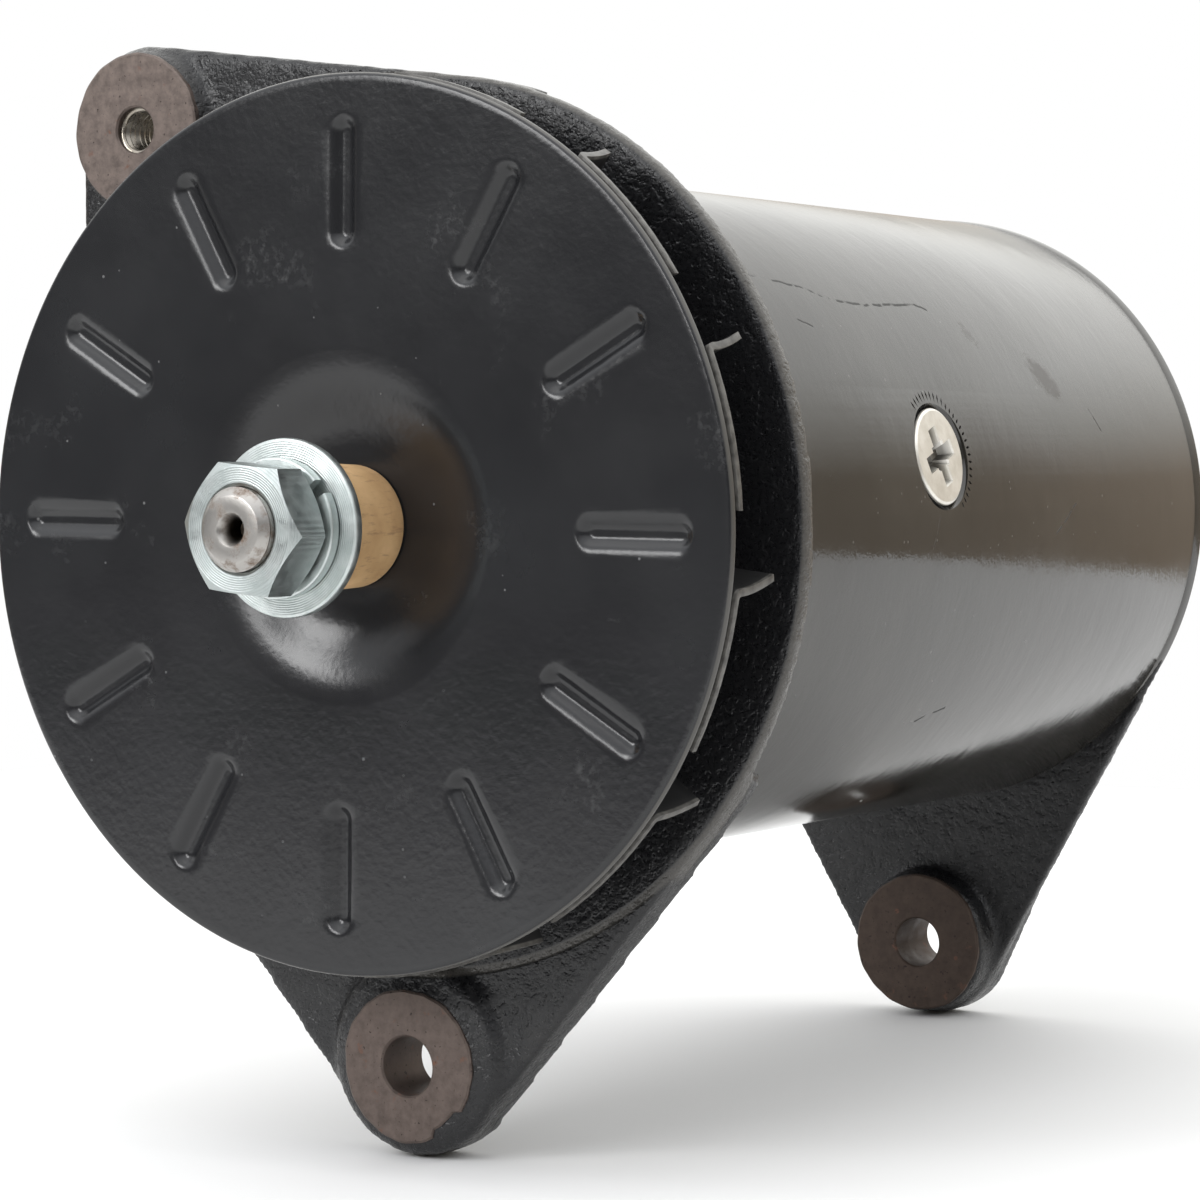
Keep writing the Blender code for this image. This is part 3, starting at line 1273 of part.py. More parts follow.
def make_terminal(number, angle, radius, housing, brass, fibre, zinc):
    spot = polar(TERMINAL_CIRCLE, angle)
    where = (spot[0], 0, spot[1])
    inside = REAR_FRONT - BUSHING_PROUD
    outside = COVER_REAR + FIT + BUSHING_FLANGE_THICKNESS
    bore = radius + FIT
    sleeve = bore + BUSHING_WALL
    flange = sleeve + BUSHING_FLANGE
    shell = [
        (bore, inside),
        (sleeve, inside),
        (sleeve, COVER_REAR + FIT),
        (flange, COVER_REAR + FIT),
        (flange, outside),
        (bore, outside),
    ]
    bm = bmesh.new()
    add_turned(bm, shell, COARSE)
    place(f"terminal_bushing_{number}", bm, fibre, housing, where)

    head = radius + TERMINAL_SHOULDER
    head_rear = inside - FIT
    head_front = head_rear - TERMINAL_HEAD_HEIGHT
    stud = bmesh.new()
    profile = [
        (0, head_front),
        (head, head_front),
        (head, head_rear),
        (radius, head_rear),
        (radius, head_rear + TERMINAL_LENGTH),
        (0, head_rear + TERMINAL_LENGTH),
    ]
    add_turned(stud, profile, COARSE)
    place(f"terminal_stud_{number}", stud, brass, housing, where)

    nut = bmesh.new()
    front = outside + FIT
    flats = radius * 2 + TERMINAL_NUT_SHOULDER
    rear = front + TERMINAL_NUT_THICKNESS
    add_slab(nut, hexagon(flats, angle), [circle((0, 0), bore, COARSE)], front, rear)
    place(f"terminal_nut_{number}", nut, zinc, housing, where)


def make_empty(name, parent, location=(0, 0, 0)):
    axis = bpy.data.objects.new(name, None)
    bpy.context.scene.collection.objects.link(axis)
    axis.parent = parent
    axis.location = location
    return axis


def main():
    for old in list(bpy.data.objects):
        bpy.data.objects.remove(old, do_unlink=True)

    black_iron = material("rough_black_casting", (0.02, 0.02, 0.021), 0.6, 0)
    black_gloss = material("yoke_black_enamel", (0.015, 0.015, 0.014), 0.22, 0)
    black_satin = material("fan_satin_black", (0.022, 0.022, 0.024), 0.4, 0)
    zinc = material("zinc_plate", (0.62, 0.66, 0.68), 0.32, 1)
    bright = material("ground_steel", (0.5, 0.49, 0.47), 0.3, 1)
    card = material("tan_cardboard", (0.42, 0.27, 0.14), 0.85, 0)
    iron = material("bare_iron", (0.2, 0.19, 0.18), 0.55, 1)
    winding = material("varnished_winding", (0.32, 0.12, 0.04), 0.45, 0)
    copper = material("commutator_copper", (0.72, 0.38, 0.22), 0.35, 1)
    tape = material("coil_tape", (0.46, 0.38, 0.24), 0.9, 0)
    bronze = material("porous_bronze", (0.55, 0.36, 0.16), 0.5, 1)
    carbon = material("brush_carbon", (0.05, 0.05, 0.052), 0.7, 0)
    brass = material("sheet_brass", (0.6, 0.45, 0.2), 0.4, 1)
    spring = material("spring_steel", (0.3, 0.29, 0.27), 0.4, 1)
    fibre = material("red_fibre", (0.3, 0.08, 0.05), 0.7, 0)
    felt = material("grey_felt", (0.3, 0.29, 0.27), 0.95, 0)

    housing = make_empty("housing_axis", None, (0, 0, LUG_DROP))
    rotor = make_empty("rotor_axis", None, (0, 0, LUG_DROP))
    cage_axis = make_empty("cage_axis", None, (0, 0, LUG_DROP))

    make_drive_end_bracket(housing, black_iron)
    make_rear_bracket(housing, black_iron)
    make_yoke(housing, black_gloss)
    for side, turn in (("right", POLE_ANGLE), ("left", POLE_ANGLE + pi)):
        make_pole_screw(f"pole_screw_{side}", turn, housing, zinc)
        make_pole_shoe(f"pole_shoe_{side}", turn, housing, iron)
        make_field_coil(f"field_coil_{side}", turn, housing, tape)
    make_shaft(rotor, bright)
    make_nose_stack(rotor, zinc, card, bright)
    make_fan_disc(rotor, black_satin)
    make_vane_plate(rotor, black_satin)
    make_armature(rotor, iron, winding, copper)
    make_bearing(housing, rotor, cage_axis, bright, felt, iron, zinc)
    make_rear_bush(housing, bronze)
    for number, spot in enumerate(bolt_places()):
        make_through_bolt(f"through_bolt_{number + 1}", spot, housing, zinc)
    for number, turn in enumerate(BRUSH_ANGLES):
        brush_axis = make_empty(f"brush_axis_{number + 1}", housing)
        arm_axis = make_empty(f"arm_axis_{number + 1}", housing)
        make_brush_set(number + 1, turn, housing, brush_axis, arm_axis, carbon, brass, spring, fibre)
    for number, (angle, radius) in enumerate(zip(TERMINAL_ANGLES, TERMINAL_RADII)):
        make_terminal(number + 1, angle, radius, housing, brass, fibre, zinc)


main()
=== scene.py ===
# %% [markdown]
# # A belt-driven generator, dressed for the camera
#
# The solids that the simulation uses come in first and stay where they are. Each later cell
# dresses one piece: the pressed fan, the rough castings, the enamelled yoke, the nut and its
# washers. The shaft runs along Y, and the drive end faces the camera.

from math import acos, asin, atan2, cos, hypot, pi, radians, sin

import bmesh
import bpy
from bmesh.types import BMEdge, BMFace, BMVert
from mathutils import Matrix, Vector


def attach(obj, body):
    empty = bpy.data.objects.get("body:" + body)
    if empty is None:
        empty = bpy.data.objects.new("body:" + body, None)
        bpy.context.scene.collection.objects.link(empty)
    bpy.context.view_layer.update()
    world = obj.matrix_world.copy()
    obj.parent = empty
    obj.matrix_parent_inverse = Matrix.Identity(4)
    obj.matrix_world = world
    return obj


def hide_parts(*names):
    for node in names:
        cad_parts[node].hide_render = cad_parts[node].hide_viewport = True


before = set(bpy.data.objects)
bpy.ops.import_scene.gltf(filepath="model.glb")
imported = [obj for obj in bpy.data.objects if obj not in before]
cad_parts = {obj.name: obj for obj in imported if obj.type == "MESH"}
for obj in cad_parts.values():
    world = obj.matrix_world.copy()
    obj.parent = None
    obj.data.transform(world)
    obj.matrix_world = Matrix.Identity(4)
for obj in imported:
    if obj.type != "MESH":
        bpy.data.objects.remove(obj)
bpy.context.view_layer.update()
ops = bmesh.ops
MM = 0.001
FULL = 2 * pi
DOWN = -pi / 2
SHAFT_Z = 0.0857
POLE_TURN = radians(10.3)

# %% [markdown]
# ## Objects and nodes
#
# Two things are needed everywhere: a new object in the scene, and a node tree that can be written
# down in few words. A node's inputs are given by name or number, as a value or as the output of
# another node. Places that are measured from the shaft are in millimetres.

# %% Objects and nodes
def add_object(name, data):
    made = bpy.data.objects.new(name, data)
    bpy.context.scene.collection.objects.link(made)
    return made


class Tree:
    """Short names for the nodes of one tree."""

    def __init__(self, owner):
        owner.use_nodes = True
        self.nodes, self.links = owner.node_tree.nodes, owner.node_tree.links

    def node(self, kind, inputs=None, **settings):
        made = self.nodes.new("ShaderNode" + kind)
        for key, value in settings.items():
            setattr(made, key, value)
        for key, value in (inputs or {}).items():
            if isinstance(value, bpy.types.NodeSocket):
                self.links.new(value, made.inputs[key])
            else:
                made.inputs[key].default_value = value
        return made

    def stretch(self, value, low, high, to_low=0.0, to_high=1.0, kind="LINEAR"):
        """Maps low to high onto another range, and holds its ends beyond them."""
        inputs = {"Value": value, "From Min": low, "From Max": high, "To Min": to_low, "To Max": to_high}
        return self.node("MapRange", inputs, interpolation_type=kind).outputs["Result"]

    def mix(self, share, first, second):
        colours = [(*c, 1) if isinstance(c, tuple) else c for c in (first, second)]
        inputs = {"Factor": share, 6: colours[0], 7: colours[1]}
        return self.node("Mix", inputs, data_type="RGBA").outputs[2]


print("helpers:", add_object.__name__, Tree.__name__)

# %% [markdown]
# ## The camera
#
# The photograph was taken from about four times the generator's length away, with a long lens,
# 32 degrees round from the shaft and a little above it. The camera's place and turn were found
# from the known circles: the fan's rim, the yoke, the two lugs and the hexagon of the nut.

# %% Camera
CAMERA_PLACE = Vector((0.336889, -0.477268, 0.09336))
CAMERA_AZIMUTH = radians(32.036)
CAMERA_RISE = radians(2.094)
CAMERA_ROLL = radians(-0.533)
CAMERA_LENS = 111.134
CAMERA_SHIFT = (-0.006, 0.0081)


def make_camera():
    """A camera whose local axes are worked out from its azimuth, rise and roll."""
    camera = add_object("camera", bpy.data.cameras.new("camera"))
    camera.data.lens = CAMERA_LENS
    camera.data.sensor_width = 36
    camera.data.shift_x, camera.data.shift_y = CAMERA_SHIFT
    camera.data.clip_start = 0.01
    flat = cos(CAMERA_RISE)
    back = Vector((sin(CAMERA_AZIMUTH) * flat, -cos(CAMERA_AZIMUTH) * flat, sin(CAMERA_RISE)))
    right = Vector((0, 0, 1)).cross(back).normalized()
    rolled = cos(CAMERA_ROLL) * right + sin(CAMERA_ROLL) * back.cross(right)
    axes = Matrix((rolled, back.cross(rolled), back)).transposed().to_4x4()
    camera.matrix_world = Matrix.Translation(CAMERA_PLACE) @ axes
    bpy.context.scene.camera = camera
    return camera


camera = make_camera()
print("camera at", [round(c, 3) for c in camera.matrix_world.translation])

# %% [markdown]
# ## The sky
#
# Black paint has hardly any colour of its own: what it shows is the room. The photograph's yoke
# says what that room was: a broad light overhead, a dim warm wall at the level of the shaft and
# a bright table below, whose far edge makes the hard line along the barrel. A sky that changes
# with height gives the first two, a little different towards the wall and straight ahead. A
# picture of a real room would be quicker, but it would bring in a file. The camera itself sees
# plain white.

# %% Sky
bpy.context.scene.view_settings.view_transform = "Standard"
# Each stop: its height, from 0 at the nadir to 1 at the zenith, and its colour
SKY_STOPS = (
    (0.00, (1.1, 1.1, 1.09)),
    (0.418, (1.1, 1.1, 1.08)),
    (0.428, (0.44, 0.35, 0.26)),
    (0.535, (0.56, 0.46, 0.36)),
    (0.6, (1.1, 1.08, 1.02)),
    (0.66, (1.6, 1.6, 1.56)),
    (1.00, (1.7, 1.7, 1.68)),
)
WALL_STOPS = (
    (0.00, (1.0, 1.0, 0.99)),
    (0.415, (0.9, 0.9, 0.88)),
    (0.425, (0.42, 0.34, 0.26)),
    (0.56, (0.44, 0.37, 0.29)),
    (0.66, (1.2, 1.18, 1.12)),
    (0.72, (1.6, 1.6, 1.56)),
    (1.00, (1.7, 1.7, 1.68)),
)
AHEAD_STOPS = (
    (0.00, (0.8, 0.8, 0.8)),
    (0.43, (0.5, 0.5, 0.5)),
    (0.46, (0.135, 0.135, 0.14)),
    (0.62, (0.18, 0.18, 0.182)),
    (0.73, (1.2, 1.22, 1.26)),
    (0.85, (1.5, 1.53, 1.58)),
    (1.00, (1.5, 1.5, 1.5)),
)


def sky_ramp(tree, height, stops):
    ramp = tree.node("ValToRGB", {"Fac": height})
    band = ramp.color_ramp
    while len(band.elements) < len(stops):
        band.elements.new(0.5)
    for element, (place, colour) in zip(band.elements, stops):
        element.position = place
        element.color = (*colour, 1)
    return ramp.outputs["Color"]


def make_sky():
    """The sky, blended towards the wall at the right and what lies ahead of the drive end."""
    world = bpy.data.worlds.new("studio_sky")
    bpy.context.scene.world = world
    tree = Tree(world)
    tree.nodes.clear()
    way = tree.node("TexCoord").outputs["Generated"]
    across, away, up = tree.node("SeparateXYZ", {0: way}).outputs
    height = tree.stretch(up, -1, 1)
    sky = sky_ramp(tree, height, SKY_STOPS)
    for stops, axis, low, high in ((WALL_STOPS, across, 0.3, 0.48), (AHEAD_STOPS, away, 0.3, -0.3)):
        reach = tree.stretch(axis, low, high, kind="SMOOTHSTEP")
        sky = tree.mix(reach, sky, sky_ramp(tree, height, stops))
    lit = tree.node("Background", {"Color": sky}).outputs[0]
    plain = tree.node("Background", {"Color": (1, 1, 1, 1), "Strength": 1}).outputs[0]
    seen = tree.node("LightPath").outputs["Is Camera Ray"]
    choose = tree.node("MixShader", {"Fac": seen, 1: lit, 2: plain}).outputs[0]
    tree.node("OutputWorld", {"Surface": choose})


make_sky()
print("sky stops:", len(SKY_STOPS), len(WALL_STOPS), len(AHEAD_STOPS))

# %% [markdown]
# ## Floor and lamps
#
# The generator stands on its two lugs on a pale table. The table ends not far from it, because
# the photograph's yoke mirrors its far edge as a line. Three soft lamps add the highlights: one
# broad one above, and two small ones in front, which the pressed fan mirrors.

# %% Floor and lamps
FLOOR_Z = -0.0149
FLOOR_HALF = 0.58
# Each lamp: its place, its target, its width and height, and its power
LAMPS = {
    "softbox_above": ((-0.1, -0.2, 1.0), (0, 0.05, 0.08), (0.9, 0.8), 1.5),
    "softbox_front": ((-0.5, -1.02, 0.6), (0, 0, 0.08), (0.4, 0.4), 5),
    "softbox_ahead": ((-0.17, -1.14, 0.42), (0, 0, 0.08), (0.26, 0.22), 1.8),
}


def make_floor():
    """A pale square table under the lugs."""
    shape = bmesh.new()
    ops.create_grid(shape, x_segments=1, y_segments=1, size=FLOOR_HALF)
    ops.translate(shape, verts=shape.verts, vec=(0, 0.1, FLOOR_Z))
    mesh = bpy.data.meshes.new("floor")
    shape.to_mesh(mesh)
    shape.free()
    paper = bpy.data.materials.new("floor_paper")
    paper.use_nodes = True
    shader = paper.node_tree.nodes["Principled BSDF"]
    shader.inputs["Base Color"].default_value = (0.8, 0.8, 0.8, 1)
    shader.inputs["Roughness"].default_value = 0.8
    mesh.materials.append(paper)
    add_object("floor", mesh)


def make_lamp(name, place, target, size, power):
    """A rectangular soft light that faces its target."""
    lamp = bpy.data.lights.new(name, "AREA")
    lamp.shape = "RECTANGLE"
    lamp.size, lamp.size_y = size
    lamp.energy = power
    facing = (Vector(target) - Vector(place)).to_track_quat("-Z", "Y").to_matrix().to_4x4()
    add_object(name, lamp).matrix_world = Matrix.Translation(place) @ facing


make_floor()
for name, row in LAMPS.items():
    make_lamp(name, *row)
print("floor and", len(LAMPS), "lamps in place")

# %% [markdown]
# ## From a shape to a piece
#
# A piece is made as a bmesh in millimetres about the shaft, then brought to metres, lifted to the
# shaft's height and handed to the body that it turns with. Edges sharper than an angle stay
# sharp, and the rest is shaded smooth. Holes are cut for good, so that later steps see them.

# %% Pieces and cuts
def lifted(name, shape):
    """An object of the shape, in metres and at the shaft's height."""
    ops.scale(shape, verts=shape.verts, vec=(MM, MM, MM))
    ops.remove_doubles(shape, verts=shape.verts, dist=1e-6)
    ops.recalc_face_normals(shape, faces=shape.faces)
    ops.translate(shape, verts=shape.verts, vec=(0, 0, SHAFT_Z))
    mesh = bpy.data.meshes.new(name)
    shape.to_mesh(mesh)
    shape.free()
    return add_object(name, mesh)


def hand_over(name, shape, finish, body, slot, replaced=None, sharp=32):
    """Makes the piece, gives it its finish and fixes it to its body."""
    piece = lifted(name, shape)
    piece.data.shade_smooth()
    piece.data.set_sharp_from_angle(angle=radians(sharp))
    piece.data.materials.append(finish)
    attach(piece, body)
    if replaced:
        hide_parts(replaced)
    print(name, len(piece.data.polygons), "faces")
    return piece


def carve(piece, cutters, operation="DIFFERENCE"):
    """Cuts the cutters out of a piece for good, or keeps what lies inside them."""
    for cutter in cutters:
        cut = piece.modifiers.new("cut", "BOOLEAN")
        cut.solver = "EXACT"
        cut.operation = operation
        cut.object = cutter
    bpy.context.view_layer.update()
    graph = bpy.context.evaluated_depsgraph_get()
    carved = bpy.data.meshes.new_from_object(piece.evaluated_get(graph))
    piece.modifiers.clear()
    piece.data = carved
    for cutter in cutters:
        bpy.data.objects.remove(cutter, do_unlink=True)
    print("carved", piece.name, len(carved.polygons), "faces")


def soften(piece, name, width, angle):
    """Bevels the edges that are sharper than an angle."""
    soft = piece.modifiers.new(name, "BEVEL")
    soft.width = width * MM
    soft.segments = 2
    soft.limit_method = "ANGLE"
    soft.angle_limit = radians(angle)


print("helpers:", ", ".join(f.__name__ for f in (lifted, hand_over, carve, soften)))

# %% [markdown]
# ## Spinning and pushing
#
# Most of this machine was turned on a lathe, so most of its pieces are a profile carried round a
# line. A spin modifier could do it, but a bmesh lets the corners be rounded first and the points
# be moved after. What isn't turned is a flat outline pushed along the shaft. Outlines and
# profiles are lists of pairs.

# %% Spinning and pushing
def spun(shape, points, steps, centre=(0, 0, 0), axis=(0, 1, 0), angle=FULL, climb=0, closed=False):
    """Carries a line of points round an axis. Climb is what each step adds along the shaft."""
    corners = [shape.verts.new(point) for point in points]
    edges = [shape.edges.new(pair) for pair in zip(corners, corners[1:])]
    if closed:
        edges.append(shape.edges.new((corners[-1], corners[0])))
    ops.spin(
        shape, geom=corners + edges, cent=centre, axis=axis, dvec=(0, climb, 0), angle=angle,
        steps=steps, use_merge=angle == FULL,
    )


def turned(shape, profile, steps, centre=(0, 0)):
    """Spins a profile of (radius, y) about a line along Y. It is closed if it misses the line."""
    x, z = centre
    spun(shape, [(x + r, y, z) for r, y in profile], steps, (x, 0, z), closed=profile[0][0] > 0)


def rounded(profile, radius, steps=3):
    """The same closed profile with each corner cut by an arc of about that radius."""
    result = []
    for i, corner in enumerate(profile):
        here = Vector(corner)
        before = Vector(profile[i - 1]) - here
        after = Vector(profile[(i + 1) % len(profile)]) - here
        reach = min(radius, before.length * 0.45, after.length * 0.45)
        start = here + before.normalized() * reach
        end = here + after.normalized() * reach
        for k in range(steps + 1):
            share = k / steps
            bend = here * 2 * share * (1 - share)
            result.append(tuple(start * (1 - share) ** 2 + bend + end * share**2))
    return result


def box(inner, outer, front, rear):
    """The four corners of a ring's profile."""
    return [(inner, front), (outer, front), (outer, rear), (inner, rear)]


def parts_of(made, kind):
    """The vertices, edges or faces among what an operator made."""
    return [part for part in made["geom"] if isinstance(part, kind)]


def push(shape, faces, way):
    """Makes a solid of flat faces by drawing them along the shaft."""
    made = ops.extrude_face_region(shape, geom=faces, use_keep_orig=True)
    ops.translate(shape, verts=parts_of(made, BMVert), vec=(0, way, 0))


def on_circle(radius, turn, centre=(0, 0)):
    return (centre[0] + radius * cos(turn), centre[1] + radius * sin(turn))


def drill(radius, front, rear, centre=(0, 0)):
    """A cutter for a round hole along the shaft."""
    shape = bmesh.new()
    turned(shape, [(0, front), (radius, front), (radius, rear), (0, rear)], 48, centre)
    return lifted("cutter", shape)


def clamped_share(value, low, high):
    return min(1, max(0, (value - low) / (high - low)))


def smooth_share(value, low, high):
    """0 below low, 1 above high and a smooth rise between them."""
    share = clamped_share(value, low, high)
    return share * share * (3 - 2 * share)


print("helpers:", ", ".join(f.__name__ for f in (spun, turned, rounded, push, drill)))

# %% [markdown]
# ## How a finish is made
#
# Every finish is a small tree of noise and cells on Object coordinates, so it needs no picture and
# no unwrapping. Most mix two colours by a mottle and add a roughness that varies and a fine bump.
# Wear follows the shape: the distance from the shaft tells where a rim is.

# %% Finish class
class Finish(Tree):
    """One Principled material and the textures that feed it."""

    def __init__(self, name, colour, roughness, metallic=0.0, specular=0.5):
        self.material = bpy.data.materials.new(name)
        super().__init__(self.material)
        self.shader = self.nodes["Principled BSDF"]
        self.shader.inputs["Base Color"].default_value = (*colour, 1)
        self.shader.inputs["Roughness"].default_value = roughness
        self.shader.inputs["Metallic"].default_value = metallic
        self.shader.inputs["Specular IOR Level"].default_value = specular
        self.place = self.node("TexCoord").outputs["Object"]

    def squeezed(self, across, along=1):
        """The place, scaled across the shaft and along it."""
        return self.node("Mapping", {"Scale": (across, along, across), "Vector": self.place}).outputs[0]

    def about_shaft(self):
        """The place in mm, measured from the shaft's line."""
        inputs = {"Location": (0, 0, SHAFT_Z), "Scale": (MM, MM, MM), "Vector": self.place}
        return self.node("Mapping", inputs, vector_type="TEXTURE").outputs[0]

    def axes(self):
        return self.node("SeparateXYZ", {0: self.about_shaft()}).outputs

    def radius(self):
        across, _, height = self.axes()
        square = self.add(self.times(across, across), self.times(height, height))
        return self.math("POWER", square, 0.5)

    def noise(self, scale, detail=4.0, rough=0.5, vector=None):
        inputs = {"Scale": scale, "Detail": detail, "Roughness": rough, "Vector": vector or self.place}
        return self.node("TexNoise", inputs).outputs["Fac"]

    def spots(self, scale, radius, share):
        """Round spots, one to a cell, of a radius in cells. Only a share of the cells has one."""
        cells = self.node("TexVoronoi", {"Scale": scale, "Vector": self.place}).outputs
        chance = self.node("SeparateColor", {0: cells["Color"]}).outputs[0]
        size = self.times(self.stretch(chance, 1 - share, 1), radius)
        return self.math("LESS_THAN", cells["Distance"], size)

    def math(self, operation, first, second=0):
        return self.node("Math", {0: first, 1: second}, operation=operation).outputs[0]

    def add(self, first, second):
        return self.math("ADD", first, second)

    def times(self, first, second):
        return self.math("MULTIPLY", first, second)

    def larger(self, first, second):
        return self.math("MAXIMUM", first, second)

    def colour(self, source):
        self.links.new(source, self.shader.inputs["Base Color"])

    def roughness(self, source):
        self.links.new(source, self.shader.inputs["Roughness"])

    def bump(self, height, depth, strength=0.5):
        """A bump whose full height is a depth in mm."""
        inputs = {"Distance": depth * MM, "Strength": strength, "Height": height}
        self.links.new(self.node("Bump", inputs).outputs["Normal"], self.shader.inputs["Normal"])


print("helpers:", Finish.__name__)

# %% [markdown]
# ## Black paint
#
# The fan and the castings are painted the same black, but they don't look the same. Pressed sheet
# is smooth and shows dust, the vanes behind it stand in the dark and are darkened as painted
# shade, and sand-cast iron shows its grain through the paint. One material with a mask could
# serve all three; three are easier to tune, and each stays short. Every outer rim is painted
# lighter, as a painted highlight where the paint is also thin.

# %% Black paint
def fan_paint():
    """Satin black on pressed sheet, with dust specks and faint handling marks."""
    f = Finish("fan_paint", (0.013, 0.0132, 0.0145), 0.32)
    haze = f.stretch(f.noise(28, 3), 0.45, 0.75)
    smears = f.stretch(f.noise(75, 2), 0.6, 0.72)
    scuffs = f.times(smears, f.stretch(f.noise(800, 3, 0.7), 0.5, 0.75))
    specks = f.larger(f.spots(260, 0.07, 0.45), f.spots(90, 0.045, 0.4))
    marks = f.larger(f.times(specks, 0.5), f.times(scuffs, 0.16))
    base = f.mix(haze, (0.0105, 0.0107, 0.012), (0.0165, 0.017, 0.0185))
    # The rim is painted lighter: a painted highlight along the disc's edge, where the paint is also thin.
    rim = f.stretch(f.radius(), 69.2, 69.35)
    f.colour(f.mix(rim, f.mix(marks, base, (0.2, 0.2, 0.2)), (0.075, 0.072, 0.066)))
    f.roughness(f.add(f.stretch(f.noise(45, 4, 0.6), 0.3, 0.7, 0.2, 0.27), f.times(marks, 0.3)))
    f.bump(f.add(f.noise(900, 2), f.times(f.noise(240, 2), 1.2)), 0.05, 0.6)
    return f.material


def shaded_vane_paint():
    """The vanes stand in the dark behind the disc: dull black, darkened as painted shade. The rim is
    painted lighter, a painted highlight where the paint is also thin.
    """
    # Near-black: painted shade for the vanes standing in the dark behind the disc.
    black = (0.004, 0.004, 0.0045)
    f = Finish("shaded_vane_paint", black, 0.55, 0, 0.3)
    # The rim is painted lighter: a painted highlight along the edge, where the paint is also thin.
    rim = f.stretch(f.radius(), 69.1, 69.3)
    grain = f.noise(700, 3)
    worn = f.mix(f.stretch(grain, 0.35, 0.65), (0.05, 0.047, 0.043), (0.12, 0.115, 0.105))
    f.colour(f.mix(rim, black, worn))
    f.roughness(f.stretch(rim, 0, 1, 0.55, 0.35))
    f.bump(grain, 0.05)
    return f.material


def casting_paint():
    """Black paint brushed over sand-cast iron: the grain, pits and lumps shine through it."""
    f = Finish("casting_paint", (0.011, 0.011, 0.0118), 0.36)
    radius = f.radius()
    # The front flange's rim is painted lighter, a painted reflection on its edge, where the paint is also
    # thin; it is also bumped less.
    skimmed = f.times(f.stretch(radius, 70.1, 70.5), f.stretch(f.axes()[1], 7.2, 8, 1, 0))
    edge = f.times(skimmed, f.stretch(radius, 71.4, 71.8, 1, 0))
    grain = f.noise(1500, 3, 0.6)
    lumps = f.noise(420, 3, 0.55)
    pits = f.stretch(f.noise(800, 2), 0.34, 0.46)
    relief = f.add(f.add(f.times(grain, 0.7), lumps), f.times(pits, 0.35))
    worn = f.stretch(f.noise(75, 4, 0.7), 0.56, 0.78)
    base = f.mix(worn, (0.0095, 0.0095, 0.0105), (0.02, 0.0195, 0.0195))
    f.colour(f.mix(edge, base, (0.07, 0.066, 0.06)))
    f.roughness(f.stretch(grain, 0.3, 0.7, 0.2, 0.42))
    f.bump(f.add(relief, f.times(edge, -0.6)), 0.3, 0.8)
    return f.material


FAN_PAINT = fan_paint()
SHADED_VANE_PAINT = shaded_vane_paint()
CASTING_PAINT = casting_paint()
print("paints:", FAN_PAINT.name, SHADED_VANE_PAINT.name, CASTING_PAINT.name)

# %% [markdown]
# ## Enamel
#
# The yoke and the turned rim behind it are dipped in a thicker, glossy enamel, in which the rings
# of the turning tool still show. Its scratches could be a painted picture, but a few lines worked
# out from the angle round the shaft and the place along it stay sharp at any size, and they go
# where the photograph has them.

# %% Enamel
def enamel(name):
    """Glossy black enamel, a little brown, over turned steel whose rings show through it."""
    f = Finish(name, (0.03, 0.0275, 0.0235), 0.12, 0, 0.8)
    rub = f.stretch(f.noise(38, 5, 0.65), 0.5, 0.72)
    dust = f.times(f.larger(f.spots(420, 0.12, 0.25), f.spots(170, 0.06, 0.3)), 0.5)
    clean = f.mix(rub, (0.026, 0.0238, 0.0203), (0.04, 0.0368, 0.0315))
    f.paint = f.mix(dust, clean, (0.16, 0.155, 0.145))
    f.dull = f.stretch(f.noise(26, 5, 0.6), 0.3, 0.75, 0.07, 0.2)
    rings = f.noise(420, 3, 0.6, f.squeezed(0.22))
    waves = f.noise(42, 2, 0.5, f.squeezed(0.6))
    fine = f.add(f.times(rings, 0.25), f.times(f.noise(1400, 2), 0.12))
    f.level = f.add(fine, f.add(f.times(waves, 1.2), f.times(f.noise(190, 2), 0.3)))
    return f


def rim_enamel():
    f = enamel("rim_enamel")
    f.colour(f.paint)
    f.roughness(f.dull)
    f.bump(f.level, 0.3, 0.4)
    return f.material


# Each scratch: its half width as an angle, and its points as mm along the shaft and angle round it
SCRATCHES = (
    (0.007, ((38.5, 0.762), (45.4, 0.741), (52.6, 0.724), (57.5, 0.697), (63.6, 0.676), (71.3, 0.67),
             (78.8, 0.676), (90, 0.688), (94, 0.665))),
    (0.006, ((44, 0.6), (48, 0.575))),
    (0.006, ((140, 0.33), (143, 0.26))),
    (0.005, ((72, -0.11), (74.5, 0.0))),
    (0.004, ((120, -0.06), (128, 0.03))),
    (0.006, ((88, -0.66), (97, -0.62))),
)


